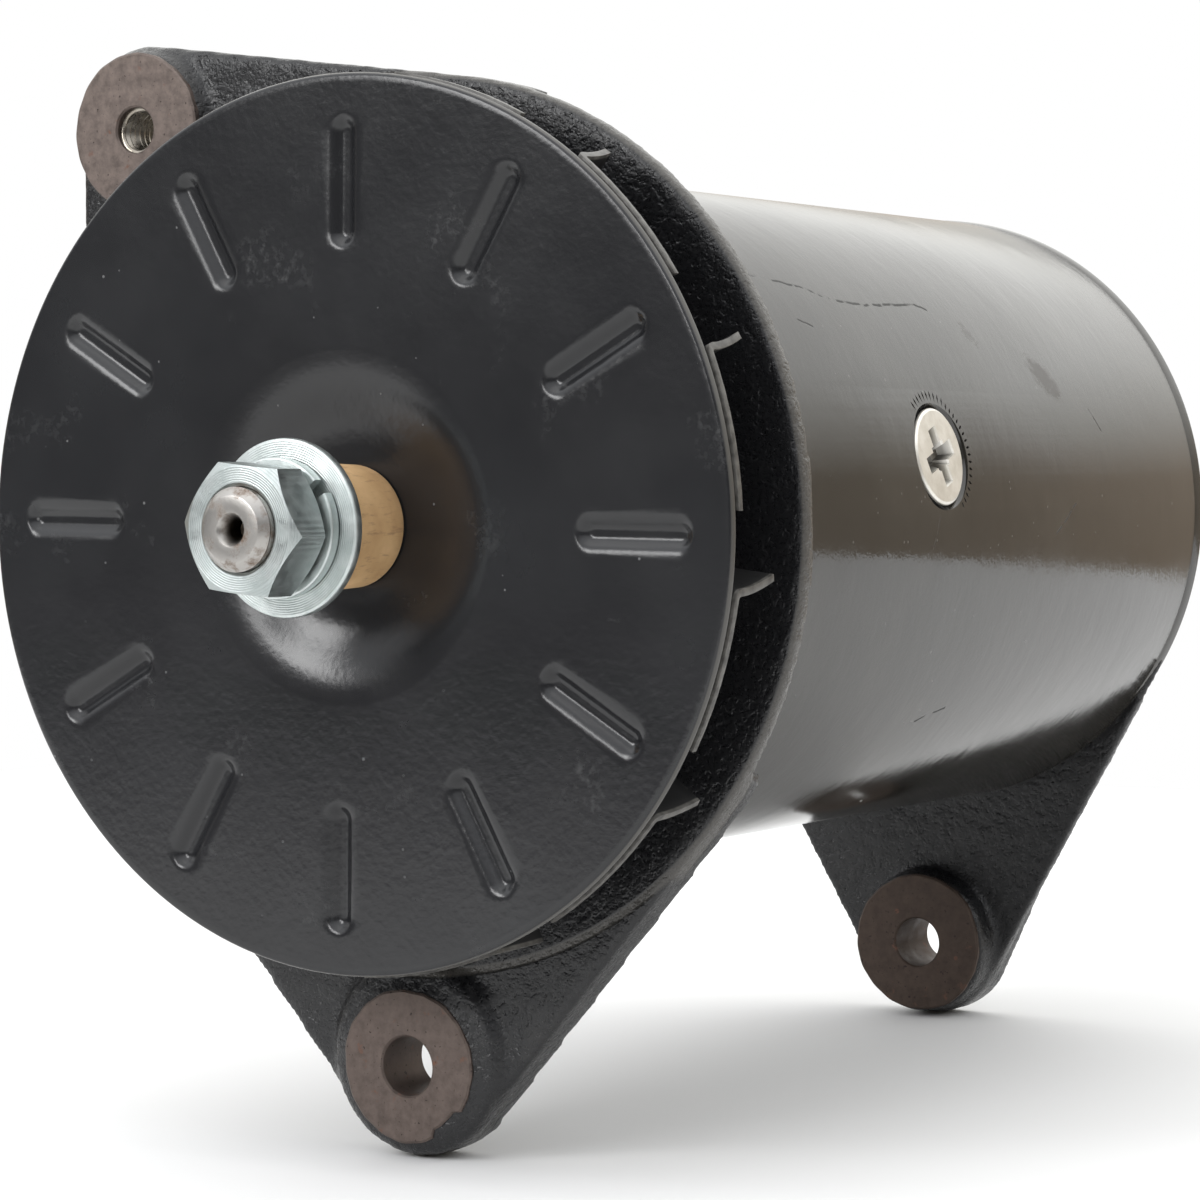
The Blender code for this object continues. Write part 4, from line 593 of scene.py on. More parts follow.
def yoke_enamel():
    """The yoke's enamel, with its scratches, a smudge and one chip down to bright metal."""
    f = enamel("yoke_enamel")
    across, along, height = f.axes()
    turn = f.math("ARCTAN2", height, across)
    shaky = f.times(f.add(f.noise(240, 3), -0.5), 0.02)

    def scratch_mark(width, start, first, end, last):
        """One straight piece of a scratch, with a shaky line."""
        line = f.stretch(along, start, end, first, last)
        away = f.math("ABSOLUTE", f.add(f.math("SUBTRACT", turn, line), shaky))
        inside = f.times(f.math("GREATER_THAN", along, start), f.math("LESS_THAN", along, end))
        return f.times(f.stretch(away, width * 0.4, width, 1, 0), inside)

    def blot(centre, place, half_turn, half_length, ragged):
        """An oval spot with a ragged edge, at an angle round the shaft and a place along it."""
        down = f.times(f.add(turn, -centre), 1 / half_turn)
        over = f.add(f.times(f.add(along, -place), 1 / half_length), f.times(down, 0.7))
        far = f.add(f.times(down, down), f.times(over, over))
        rough = f.times(f.add(f.noise(650, 4, 0.7), -0.5), ragged)
        return f.stretch(f.add(far, rough), 0.35, 1.2, 1, 0)

    scratch = 0
    for width, points in SCRATCHES:
        for start, end in zip(points, points[1:]):
            scratch = f.larger(scratch, scratch_mark(width, *start, *end))
    scratch = f.times(scratch, f.stretch(f.noise(420, 2), 0.36, 0.5))
    smudge = f.times(blot(0.435, 126, 0.085, 4.3, 2.4), 0.5)
    smudge = f.larger(smudge, f.times(blot(0.58, 104, 0.05, 1.6, 5), 0.35))
    chip = blot(-1.098, 104.1, 0.008, 0.5, 0.8)
    dark = f.mix(f.times(scratch, 0.8), f.paint, (0.004, 0.004, 0.004))
    dark = f.mix(smudge, dark, (0.022, 0.015, 0.011))
    f.colour(f.mix(chip, dark, (0.75, 0.75, 0.73)))
    f.roughness(f.add(f.dull, f.times(f.larger(scratch, smudge), 0.5)))
    f.bump(f.math("SUBTRACT", f.level, f.times(scratch, 0.15)), 0.3, 0.4)
    return f.material


YOKE_ENAMEL = yoke_enamel()
RIM_ENAMEL = rim_enamel()
print("enamels:", YOKE_ENAMEL.name, RIM_ENAMEL.name, "with", len(SCRATCHES), "scratches")

# %% [markdown]
# ## Bare iron and zinc
#
# The facing cutter left the lugs bare, and bare iron browns where it is handled. Nut, washers and
# screws are plated with zinc, which scatters light more than polished steel does. The lathe's
# rings on a faced washer are a wave texture about the shaft, and a screw's recess is darkened as
# painted shade, found from its depth below the head.

# %% Bare iron and zinc
def machined_iron():
    """Bare iron left by the facing cutter, browned by handling, darker towards the bottom, with dark
    pores.
    """
    f = Finish("machined_iron", (0.14, 0.1, 0.088), 0.5, 0.6)
    _, along, height = f.axes()
    stain = f.stretch(f.noise(520, 4, 0.65), 0.34, 0.7)
    pores = f.stretch(f.noise(1500, 2), 0.66, 0.72)
    rust = f.larger(f.stretch(f.noise(300, 3, 0.7), 0.62, 0.74), f.times(f.spots(230, 0.2, 0.16), 0.7))
    bright = f.mix(stain, (0.105, 0.083, 0.073), (0.205, 0.163, 0.143))
    brown = f.mix(stain, (0.05, 0.036, 0.028), (0.115, 0.085, 0.068))
    base = f.mix(f.stretch(along, 100, 110), bright, brown)
    # Darker and browner towards the bottom, so on the lugs.
    base = f.mix(f.stretch(height, -25.7, -65.7, 0, 0.35), base, (0.06, 0.04, 0.032))
    ruddy = f.mix(rust, base, (0.16, 0.08, 0.055))
    f.colour(f.mix(pores, ruddy, (0.03, 0.02, 0.018)))
    f.roughness(f.stretch(stain, 0, 1, 0.45, 0.66))
    f.bump(f.noise(1300, 3), 0.06)
    return f.material


def plated_zinc(name, faced=False):
    """Bright zinc with a bluish cast, duller on the nut. Faced parts show the lathe's rings."""
    f = Finish(name, (0.58, 0.63, 0.62), 0.32, 1.0)
    cloud = f.stretch(f.noise(300, 4, 0.6), 0.35, 0.7)
    nut = f.stretch(f.axes()[1], -33, -33.3, 0, 0.4)
    bright = f.mix(cloud, (0.5, 0.55, 0.54), (0.66, 0.7, 0.69))
    f.colour(f.mix(nut, bright, (0.24, 0.27, 0.27)))
    f.roughness(f.stretch(f.noise(500, 3), 0.3, 0.7, 0.34, 0.52))
    if faced:
        inputs = {"Scale": 0.9, "Distortion": 1.2, "Detail": 2, "Vector": f.about_shaft()}
        wave = f.node("TexWave", inputs, wave_type="RINGS", rings_direction="Y").outputs["Fac"]
        f.bump(f.add(wave, f.noise(900, 2)), 0.05, 0.6)
    else:
        f.bump(f.noise(800, 3), 0.05)
    return f.material


def screw_zinc():
    """The duller, yellower zinc of the countersunk screws, with painted shade in the recess."""
    f = Finish("screw_zinc", (0.66, 0.63, 0.57), 0.4, 1.0)
    cloud = f.stretch(f.noise(360, 4, 0.6), 0.35, 0.7)
    across, _, height = f.axes()
    outward = f.add(f.times(across, cos(POLE_TURN)), f.times(height, sin(POLE_TURN)))
    outward = f.math("ABSOLUTE", outward)
    # Painted shade: the recess gets darker the deeper it lies below the head.
    recess_shade = f.times(f.stretch(outward, 56.55, 55.4, 0.25, 0.8), f.math("LESS_THAN", outward, 56.6))
    face = f.mix(cloud, (0.73, 0.705, 0.645), (0.88, 0.86, 0.81))
    f.colour(f.mix(recess_shade, face, (0.1, 0.095, 0.085)))
    f.bump(f.noise(900, 3), 0.05)
    return f.material


SCREW_ZINC = screw_zinc()
MACHINED_IRON = machined_iron()
ZINC = plated_zinc("zinc_plate_plain")
ZINC_FACED = plated_zinc("zinc_plate_faced", faced=True)
print("metals:", SCREW_ZINC.name, MACHINED_IRON.name, ZINC.name, ZINC_FACED.name)

# %% [markdown]
# ## Card, steel and the finishes inside
#
# The tube is wound from kraft card, and the shaft is ground steel with a little rust. The pieces
# inside are seen only through the vents, so a mottle of two tones is enough for each of them, and
# a table of the tones takes the place of a function for each.

# %% Card, steel and the rest
def tan_card():
    """Wound kraft card, with fibres along the spiral."""
    f = Finish("tan_card", (0.45, 0.28, 0.15), 0.82)
    fibres = f.noise(1400, 3, 0.6, f.squeezed(1, 0.2))
    mottle = f.stretch(f.noise(180), 0.3, 0.7)
    base = f.mix(mottle, (0.5, 0.3, 0.135), (0.69, 0.45, 0.225))
    f.colour(f.mix(f.stretch(fibres, 0.55, 0.75, 0, 0.6), base, (0.26, 0.15, 0.08)))
    f.bump(f.add(fibres, mottle), 0.1)
    return f.material


def turned_steel():
    """Ground shaft steel with light rust in the marks, and painted shade in the centre hole."""
    f = Finish("turned_steel", (0.3, 0.285, 0.27), 0.38, 1.0)
    rust = f.stretch(f.noise(420, 4, 0.65), 0.5, 0.7)
    # Painted shade: the centre hole is darkened.
    hole = f.stretch(f.radius(), 1.5, 2, 1, 0)
    bare = f.mix(rust, (0.4, 0.385, 0.365), (0.19, 0.145, 0.115))
    f.colour(f.mix(hole, bare, (0.05, 0.04, 0.03)))
    f.roughness(f.stretch(rust, 0, 1, 0.36, 0.6))
    f.bump(f.noise(1100, 3), 0.04)
    return f.material


def simple_finish(name, dark, light, roughness, metallic=0.0, scale=260, depth=0.04):
    """Two tones mixed by a mottle, for the pieces that are mostly out of sight."""
    f = Finish(name, dark, roughness, metallic)
    mottle = f.stretch(f.noise(scale, 4, 0.6), 0.35, 0.68)
    f.colour(f.mix(mottle, dark, light))
    f.roughness(f.stretch(mottle, 0, 1, roughness * 0.85, min(1, roughness * 1.15)))
    f.bump(f.noise(scale * 4, 3), depth)
    return f.material


# Each finish: its dark and light tone, roughness, how metallic it is, and its grain's scale and depth
SIMPLE_FINISHES = {
    "threaded_iron": ((0.24, 0.215, 0.18), (0.4, 0.37, 0.32), 0.28, 1.0, 500),
    "laminated_iron": ((0.16, 0.15, 0.14), (0.26, 0.25, 0.24), 0.5, 0.9),
    "commutator_copper": ((0.6, 0.3, 0.17), (0.78, 0.42, 0.26), 0.32, 1.0),
    "varnished_wire": ((0.25, 0.08, 0.025), (0.42, 0.17, 0.06), 0.38),
    "coil_tape": ((0.34, 0.27, 0.16), (0.52, 0.44, 0.3), 0.88),
    "porous_bronze": ((0.44, 0.28, 0.12), (0.62, 0.42, 0.2), 0.45, 1.0),
    "brush_carbon": ((0.03, 0.03, 0.032), (0.07, 0.07, 0.072), 0.6),
    "sheet_brass": ((0.5, 0.36, 0.15), (0.68, 0.52, 0.26), 0.34, 1.0),
    "spring_steel": ((0.2, 0.2, 0.21), (0.34, 0.33, 0.32), 0.35, 1.0),
    "red_fibre": ((0.22, 0.05, 0.03), (0.36, 0.1, 0.06), 0.6),
    "grey_felt": ((0.2, 0.19, 0.18), (0.36, 0.35, 0.33), 0.95, 0.0, 900, 0.3),
}
CARD = tan_card()
STEEL = turned_steel()
SIMPLE = {name: simple_finish(name, *row) for name, row in SIMPLE_FINISHES.items()}
print("finishes:", len(bpy.data.materials))

# %% [markdown]
# ## Pieces whose solids already look right
#
# The armature's core, the coils, the bearing and the brush gear are seen only through the vents.
# Their solids stay, and each gets the finish of the real one.

# %% Carried-over pieces
KEPT = {
    STEEL: ("woodruff_key", "bearing_outer_race", "bearing_inner_race", "ball_cage"),
    SIMPLE["laminated_iron"]: (
        "armature_core", "pole_shoe_right", "pole_shoe_left", "bearing_collar", "bearing_retainer",
    ),
    SIMPLE["varnished_wire"]: ("front_end_winding", "rear_end_winding"),
    SIMPLE["commutator_copper"]: ("commutator",),
    SIMPLE["coil_tape"]: ("field_coil_right", "field_coil_left"),
    SIMPLE["porous_bronze"]: ("commutator_end_bush",),
    SIMPLE["brush_carbon"]: ("brush_1", "brush_2"),
    SIMPLE["sheet_brass"]: ("brush_holder_1", "brush_holder_2"),
    SIMPLE["spring_steel"]: ("brush_arm_1", "brush_arm_2"),
    SIMPLE["red_fibre"]: ("brush_insulator",),
    SIMPLE["grey_felt"]: ("felt_seal",),
    ZINC: ("bearing_circlip", "retainer_screw_1", "retainer_screw_2", "retainer_screw_3"),
}

for finish, nodes in KEPT.items():
    for node in nodes:
        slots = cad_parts[node].data.materials
        slots.clear()
        slots.append(finish)
print("kept solids:", sum(len(nodes) for nodes in KEPT.values()))

# %% [markdown]
# ## Fan disc
#
# The front disc is a blank of 1.3 mm sheet, pressed once: the tool sinks a dish in the middle,
# to meet the pulley, and twelve narrow grooves that stop the sheet from drumming. It is made the
# same way here. A closed outline of the blank is spun about the shaft, and then each vertex is
# pushed back by what the tool does at its place. Turns are crowded together near the grooves.

# %% Fan disc
GROOVES = 12
GROOVE_STEP = FULL / GROOVES
GROOVE_TURN = radians(-1.2)
GROOVE_START, GROOVE_END = 45.3, 60.5
GROOVE_FLOOR, GROOVE_EDGE, GROOVE_DEPTH = 0.55, 2.8, 1.3
CROWDING = 0.78
DISC_FACE, DISC_RADIUS, DISC_SHEET = -15.9, 69.5, 1.3
DISC_RADII = (8.2, (12.6, 4), (27.8, 36), (41.6, 8), (64.2, 56), (68.8, 6))
DISH_DEPTH, DISH_INNER, DISH_OUTER = 3.5, 12.6, 27.4


def groove_depth(radius, angle):
    """How far the grooves of the tool push the sheet back at a place on the disc."""
    away = (angle - GROOVE_TURN + GROOVE_STEP / 2) % GROOVE_STEP - GROOVE_STEP / 2
    along, across = radius * cos(away), radius * sin(away)
    past = max(GROOVE_START - along, 0, along - GROOVE_END)
    return GROOVE_DEPTH * (1 - smooth_share(hypot(past, across), GROOVE_FLOOR, GROOVE_EDGE))


def dish_depth(radius):
    share = clamped_share(radius, DISH_INNER, DISH_OUTER)
    return DISH_DEPTH * (1 - share + 0.65 * sin(FULL * share) / FULL)


def stations(first, *runs):
    """Radii in even steps, each run as (end, count) after the first radius."""
    places = [first]
    for end, count in runs:
        start = places[-1]
        places += [start + (end - start) * (i + 1) / count for i in range(count)]
    return places


def make_fan_disc():
    radii = stations(*DISC_RADII)
    blank = [(r, 0) for r in radii]
    blank += [(69.25, 0.12), (DISC_RADIUS, 0.5), (DISC_RADIUS, DISC_SHEET - 0.25)]
    blank += [(r, DISC_SHEET) for r in reversed(radii)]
    shape = bmesh.new()
    turned(shape, blank, 324)
    for vert in shape.verts:
        radius, angle = hypot(vert.co.x, vert.co.z), atan2(vert.co.z, vert.co.x)
        angle -= CROWDING * sin(GROOVES * (angle - GROOVE_TURN)) / GROOVES
        pressed = dish_depth(radius) + groove_depth(radius, angle)
        vert.co = (radius * cos(angle), DISC_FACE + vert.co.y + pressed, radius * sin(angle))
    hand_over("fan_disc_pressing", shape, FAN_PAINT, "armature", "fan_satin_black", "fan_disc", 50)


make_fan_disc()

# %% [markdown]
# ## Fan vane plate
#
# Behind the disc lies a ring of thinner sheet. Twelve slits let one edge of each sector be
# folded back to make a vane, which leaves a slot of the vane's own height beside the fold. One
# sector is made flat from a spun edge, its slot is opened, the fold is drawn back along a small
# bend, and the sector is repeated twelve times.

# %% Vane plate
VANE_INNER, VANE_ROOT, VANE_TIP = 32, 40.5, 69.8
VANE_TURN = radians(22.5)
PLATE_MIDDLE, PLATE_SHEET = -13.7, 1.15
SLOT_WIDTH = 11.3
KEPT_COLUMNS, SLOT_COLUMNS = 7, 6
FOLD_INSET, FOLD_BEND, FOLD_HEIGHT, FOLD_SWEEP = 1.7, 1.1, 10.2, 2
ROOT_GAP = 0.1


def flat_sector(shape):
    """One sector of the plate, with its slot open. The first column, at z = 0, is the fold."""
    radii = stations(VANE_INNER, (VANE_ROOT, 4), (VANE_TIP, 14))
    count = KEPT_COLUMNS + SLOT_COLUMNS
    spun(shape, [(r, PLATE_MIDDLE, 0) for r in radii], count, angle=GROOVE_STEP)
    columns = {v: round(abs(atan2(v.co.z, v.co.x)) / GROOVE_STEP * count) for v in shape.verts}
    for vert, column in columns.items():
        radius = hypot(vert.co.x, vert.co.z)
        slot = asin(SLOT_WIDTH / max(radius, VANE_ROOT))
        turn = (GROOVE_STEP - slot) * min(1, column / KEPT_COLUMNS)
        turn += slot * max(0, column - KEPT_COLUMNS) / SLOT_COLUMNS
        vert.co = (radius * cos(turn), PLATE_MIDDLE, -radius * sin(turn))
    gone = []
    for face in shape.faces:
        centre = face.calc_center_median()
        outside = hypot(centre.x, centre.z) > VANE_ROOT
        if outside and min(columns[v] for v in face.verts) >= KEPT_COLUMNS:
            gone.append(face)
    first_column = [v for v, column in columns.items() if column == 0]
    ops.delete(shape, geom=gone, context="FACES")
    return first_column


def fold_path():
    """Where the edge of the sheet goes: round a bend, then back with a slight curve."""
    bends = [radians(30 * i) for i in (1, 2, 3)]
    path = [(FOLD_BEND * sin(a), FOLD_BEND * (1 - cos(a))) for a in bends]
    shares = [i / 5 for i in range(1, 6)]
    height = FOLD_HEIGHT - FOLD_BEND
    return path + [(FOLD_BEND + FOLD_SWEEP * s**1.6, FOLD_BEND + height * s) for s in shares]


def make_vane_plate():
    shape = bmesh.new()
    line = {v for v in flat_sector(shape) if v.co.x > VANE_ROOT - ROOT_GAP}
    fold = [e for e in shape.edges if all(v in line for v in e.verts)]
    for vert in line:
        vert.co.z -= FOLD_INSET
        if vert.co.x < VANE_ROOT + ROOT_GAP:
            vert.co.x += ROOT_GAP
    here = (0, 0)
    for across, back in fold_path():
        drawn = ops.extrude_edge_only(shape, edges=fold)
        fold = parts_of(drawn, BMEdge)
        way = (0, back - here[1], across - here[0])
        ops.translate(shape, verts=parts_of(drawn, BMVert), vec=way)
        here = (across, back)
    one = shape.verts[:] + shape.edges[:] + shape.faces[:]
    ops.rotate(shape, verts=shape.verts, matrix=Matrix.Rotation(-VANE_TURN, 3, "Y"))
    for i in range(1, GROOVES):
        verts = parts_of(ops.duplicate(shape, geom=one), BMVert)
        ops.rotate(shape, verts=verts, matrix=Matrix.Rotation(i * GROOVE_STEP, 3, "Y"))
    ops.remove_doubles(shape, verts=shape.verts, dist=0.005)
    plate = hand_over("fan_vanes", shape, SHADED_VANE_PAINT, "armature", "fan_satin_black", "fan_vane_plate", 60)
    thick = plate.modifiers.new("sheet", "SOLIDIFY")
    thick.thickness = PLATE_SHEET * MM
    thick.offset = 0
    soften(plate, "sheared_edge", 0.18, 60)


make_vane_plate()

# %% [markdown]
# ## Outlines of the two end castings
#
# Each bracket is a round flange with a lug whose straight sides run tangent to it. The front one
# also has the adjusting ear, whose outer side is vertical. Slabs of these outlines, rings and
# bosses are laid into one another, and a voxel skin melts them together with the soft inner
# corners of a sand casting. A little noise then roughens the skin.

# %% Casting outlines
FLANGE_RADIUS, REAR_RADIUS, SEAT_RADIUS = 70.88, 57.8, 57.6
LUG_RADIUS, EAR_RADIUS = 14.7, 14.05
LUG_DROP = SHAFT_Z / MM
LUG = (0, -LUG_DROP)
EAR = (-52.5, 64.9)
BOLT_CIRCLE, BOLT_TURNS = 46.2, (radians(82.3), radians(262.3))


def bow(radius, start, end, centre=(0, 0), count=None):
    """Points along an arc about a centre."""
    count = count or max(2, int(abs(end - start) / radians(3)))
    return [on_circle(radius, start + (end - start) * i / count, centre) for i in range(count + 1)]


def circle(radius):
    return bow(radius, 0, FULL)[1:]


def tangent_turn(big, small, apart):
    """Half the angle between the two tangents from a large circle to a small one."""
    return acos((big - small) / apart)


FRONT_HALF = tangent_turn(FLANGE_RADIUS, LUG_RADIUS, LUG_DROP)
REAR_HALF = tangent_turn(REAR_RADIUS, LUG_RADIUS, LUG_DROP)
EAR_START = atan2(EAR[1], EAR[0]) - tangent_turn(FLANGE_RADIUS, EAR_RADIUS, hypot(*EAR))
EAR_END = pi - acos((EAR_RADIUS - EAR[0]) / FLANGE_RADIUS)
EAR_ARC = bow(EAR_RADIUS, EAR_START, pi, EAR)


def lug_arc(half):
    return bow(LUG_RADIUS, DOWN - half, DOWN + half, LUG)


def rear_lug(inner):
    """The rear lug and its straight sides, down from an inner arc."""
    return lug_arc(REAR_HALF) + bow(inner, DOWN + REAR_HALF, DOWN - REAR_HALF)


def kidney(inner, outer, middle, span):
    """An arc-shaped window with round ends."""
    centre, half = (inner + outer) / 2, (outer - inner) / 2
    start, end = middle - span / 2, middle + span / 2
    return (
        bow(outer, start, end)
        + bow(half, end, end + pi, on_circle(centre, end), 10)[1:-1]
        + bow(inner, end, start)
        + bow(half, start + pi, start + FULL, on_circle(centre, start), 10)[1:-1]
    )


def slab(shape, outline, front, rear, holes=()):
    """A plate of the outline, with its holes, between two places along the shaft."""
    loops = []
    for points in (outline, *holes):
        corners = [shape.verts.new((x, front, z)) for x, z in points]
        loops += [shape.edges.new((corners[i - 1], corners[i])) for i in range(len(corners))]
    filled = ops.triangle_fill(shape, use_beauty=True, edges=loops)
    push(shape, parts_of(filled, BMFace), rear - front)


def ring(shape, inner, outer, front, rear, edge=0.8, steps=96):
    """A turned ring with softened corners."""
    turned(shape, rounded(box(inner, outer, front, rear), edge), steps)


def knob(shape, radius, front, rear, centre, draft=1.2, edge=0.8):
    """A round boss that spreads a little towards its root."""
    profile = [(0, front), (radius - edge, front), (radius - edge / 3, front + edge / 3)]
    profile += [(radius, front + edge), (radius + draft, rear), (0, rear)]
    turned(shape, profile, 48, centre)


def melt(name, shape, replaced, voxel, rough):
    """Skins the laid-in pieces as one casting and roughens the skin."""
    piece = hand_over(name, shape, CASTING_PAINT, "housing", "rough_black_casting", replaced)
    skin = piece.modifiers.new("cast_skin", "REMESH")
    skin.mode = "VOXEL"
    skin.voxel_size = voxel * MM
    skin.use_smooth_shade = True
    ease = piece.modifiers.new("soft_corners", "SMOOTH")
    ease.factor = 0.5
    ease.iterations = 4
    sand = bpy.data.textures.new(f"{name}_sand", "CLOUDS")
    sand.noise_scale = 3 * MM
    sand.noise_depth = 2
    grain = piece.modifiers.new("sand_grain", "DISPLACE")
    grain.texture = sand
    grain.texture_coords = "LOCAL"
    grain.strength = rough * MM
    grain.mid_level = 0.5
    return piece

# %% [markdown]
# ## Drive end casting
#
# The front bracket carries the ball bearing in its hub, the yoke on its spigot, the front pivot
# lug and the adjusting ear. Its flange stands proud of the yoke all round; behind the flange the
# metal is thick only towards the lug and the ear. Four vents in the web let the fan draw air.

# %% Drive end casting
FLANGE_FRONT, FLANGE_REAR, LUG_REAR = 3.3, 6.8, 10.8
INSIDE = FLANGE_REAR - 1
GUSSET_LEFT, GUSSET_RIGHT = radians(-148), radians(-33)
EAR_GUSSET_LOW, EAR_GUSSET_HIGH = radians(72), radians(172)


def front_outline():
    return (
        bow(FLANGE_RADIUS, DOWN + FRONT_HALF, EAR_START) + EAR_ARC
        + bow(FLANGE_RADIUS, EAR_END, FULL + DOWN - FRONT_HALF) + lug_arc(FRONT_HALF)
    )


def lug_gusset():
    """The thick part behind the flange at the lug, cut back to the seat of the yoke."""
    return (
        bow(FLANGE_RADIUS, GUSSET_LEFT, DOWN - FRONT_HALF) + lug_arc(FRONT_HALF)
        + bow(FLANGE_RADIUS, DOWN + FRONT_HALF, GUSSET_RIGHT)
        + bow(SEAT_RADIUS, GUSSET_RIGHT, GUSSET_LEFT)
    )


def ear_gusset():
    """The same at the ear."""
    return (
        bow(FLANGE_RADIUS, EAR_GUSSET_LOW, EAR_START) + EAR_ARC
        + bow(FLANGE_RADIUS, EAR_END, EAR_GUSSET_HIGH)
        + bow(SEAT_RADIUS, EAR_GUSSET_HIGH, EAR_GUSSET_LOW)
    )


def make_drive_end():
    shape = bmesh.new()
    holes = [kidney(32.5, 45.5, radians(45 + 90 * i), radians(40)) for i in range(4)]
    holes.append(circle(27))
    slab(shape, front_outline(), FLANGE_FRONT, FLANGE_REAR, holes)
    slab(shape, circle(49), INSIDE, 8.3, holes)
    slab(shape, lug_gusset(), INSIDE, LUG_REAR)
    slab(shape, ear_gusset(), INSIDE, LUG_REAR)
    # Each boss: its radius, front, rear, centre, draft and edge
    for row in (
        (15.6, 1.1, 4.4, (0.4, 1.2 - LUG_DROP), 0.1, 0.7),
        (12.8, 0.35, 4.4, LUG, 1, 0.6),
        (12.8, 0.35, 5, EAR),
        *[(3.9, 1.4, 5, on_circle(BOLT_CIRCLE, turn), 0.4) for turn in BOLT_TURNS],
    ):
        knob(shape, *row)
    # Each ring: its inner and outer radius, front, rear, edge and steps
    for row in (
        (20.3, 28, -9, 8.7),
        (11.6, 22, -9, -6.5, 0.5),
        (47, 50.5, INSIDE, LUG_REAR, 0.5, 144),
    ):
        ring(shape, *row)
    return melt("drive_end_casting", shape, "drive_end_bracket", 0.9, 0.24)


carve(make_drive_end(), [drill(5, -1, 14, LUG), drill(3.95, -1, 14, EAR)])

# %% [markdown]
# ## Commutator end casting
#
# The rear bracket is lighter: a round cover with one lug, a closed hub for the bush, two vents
# and the holes for the terminals. The edge of its rim is turned, and enamelled with the yoke.

# %% Commutator end casting
COVER_FRONT = 181.8
TERMINAL_CIRCLE = 41.5
# Each terminal: its angle and its stud's radius
TERMINALS = ((radians(58), 3), (radians(136), 2.4))


def make_rear_end():
    shape = bmesh.new()
    windows = [kidney(19.5, 33, POLE_TURN + pi * i, radians(46)) for i in range(2)]
    slab(shape, circle(56.4), COVER_FRONT, COVER_FRONT + 2.8, windows)
    slab(shape, circle(52.5), COVER_FRONT + 2, COVER_FRONT + 5.2, windows)
    slab(shape, rear_lug(52), COVER_FRONT, COVER_FRONT + 7.5)
    slab(shape, rear_lug(REAR_RADIUS), COVER_FRONT, COVER_FRONT + 2.8)
    knob(shape, 13.8, 176.2, 184, LUG, 0.8)
    for row in (
        (47, 50.5, 177.8, COVER_FRONT + 1.5, 0.5, 144),
        (11.1, 14.5, 174.3, 194),
        (1.6, 14.5, 192.5, 196, 0.5),
    ):
        ring(shape, *row)
    return melt("commutator_end_casting", shape, "commutator_end_bracket", 0.85, 0.22)


def make_rear_rim():
    shape = bmesh.new()
    front, rear = COVER_FRONT - 0.3, COVER_FRONT + 2.9
    profile = [(54, front), (57.13, front), (57.38, front + 0.9), (57.4, rear - 0.4)]
    turned(shape, profile + [(57.1, rear), (54, rear)], 256)
    hand_over("rear_rim_turned", shape, RIM_ENAMEL, "housing", "rough_black_casting", sharp=30)


rear_holes = [drill(5, 174, 192, LUG)]
rear_holes += [drill(r + 2, 180, 192, on_circle(TERMINAL_CIRCLE, turn)) for turn, r in TERMINALS]
carve(make_rear_end(), rear_holes)
make_rear_rim()

# %% [markdown]
# ## Machined pads and bores
#
# The lugs and the ear were faced and drilled after casting, and their pads were wiped clean of
# paint. Each pad is a thin ring with a bright lining in its hole. Its outer line wanders, because
# a facing cutter meets an uneven casting. The ear's hole is tapped, so its lining is a V-shaped
# profile carried round and along the hole by the pitch of the thread.

# %% Pads and bores
def wander(turn, seed):
    """A slow, uneven wave round a circle."""
    return sin(3 * turn + seed) + 0.6 * sin(7 * turn + 2 * seed) + 0.5 * sin(19 * turn + 5 * seed)


def add_pad(shape, centre, inner, outer, face, length, seed, uneven=0.006, bite=None):
    """A faced ring with a lining down the hole. A bite is a turn, a half width and a depth."""
    start = len(shape.verts)
    edge, lining, back = 0.3, inner + 0.45, face + 1.2
    profile = [(inner + edge, face), (outer - 0.35, face), (outer, face + 0.25), (outer, back)]
    profile += [(lining, back), (lining, face + length), (inner, face + length), (inner, face + edge)]
    turned(shape, profile, 144, centre)
    shape.verts.ensure_lookup_table()
    for vert in shape.verts[start:]:
        x, z = vert.co.x - centre[0], vert.co.z - centre[1]
        if hypot(x, z) > outer - 0.5:
            turn = atan2(z, x)
            grow = 1 + uneven * wander(turn, seed)
            if bite:
                middle, half, depth = bite
                grow -= depth * (1 - smooth_share(abs(turn - middle), half, half * 1.5))
            vert.co.x, vert.co.z = centre[0] + x * grow, centre[1] + z * grow


def make_pads():
    shape = bmesh.new()
    add_pad(shape, LUG, 4.75, 12.2, 0, 11, 0.4, 0.009, (radians(-50), radians(12), 0.1))
    add_pad(shape, EAR, 3.75, 12.6, 0, 1.2, 2.1)
    add_pad(shape, LUG, 4.75, 13.4, 175.8, 13.8, 4.4, 0.007)
    hand_over("machined_pads", shape, MACHINED_IRON, "housing", "bare_iron", sharp=25)


def make_ear_thread():
    pitch, crest, root, start = 1.27, 3.25, 3.8, 0.3
    steps, turns = 36, 8
    shape = bmesh.new()
    tooth = [(root, 0), (crest, 0.42 * pitch), (crest, 0.58 * pitch), (root, pitch)]
    line = [(r, start + y, 0) for r, y in tooth]
    spun(shape, line, steps * turns, angle=FULL * turns, climb=pitch / steps)
    ops.translate(shape, verts=shape.verts, vec=(EAR[0], 0, EAR[1]))
    finish = SIMPLE["threaded_iron"]
    thread = hand_over("ear_thread", shape, finish, "housing", "bare_iron", sharp=40)
    face = thread.data.polygons[0]
    inward = Vector((EAR[0] * MM, 0, SHAFT_Z + EAR[1] * MM)) - face.center
    if face.normal.dot(Vector((inward.x, 0, inward.z))) < 0:
        thread.data.flip_normals()
    thread.modifiers.new("wall", "SOLIDIFY").thickness = 0.3 * MM


make_pads()
make_ear_thread()

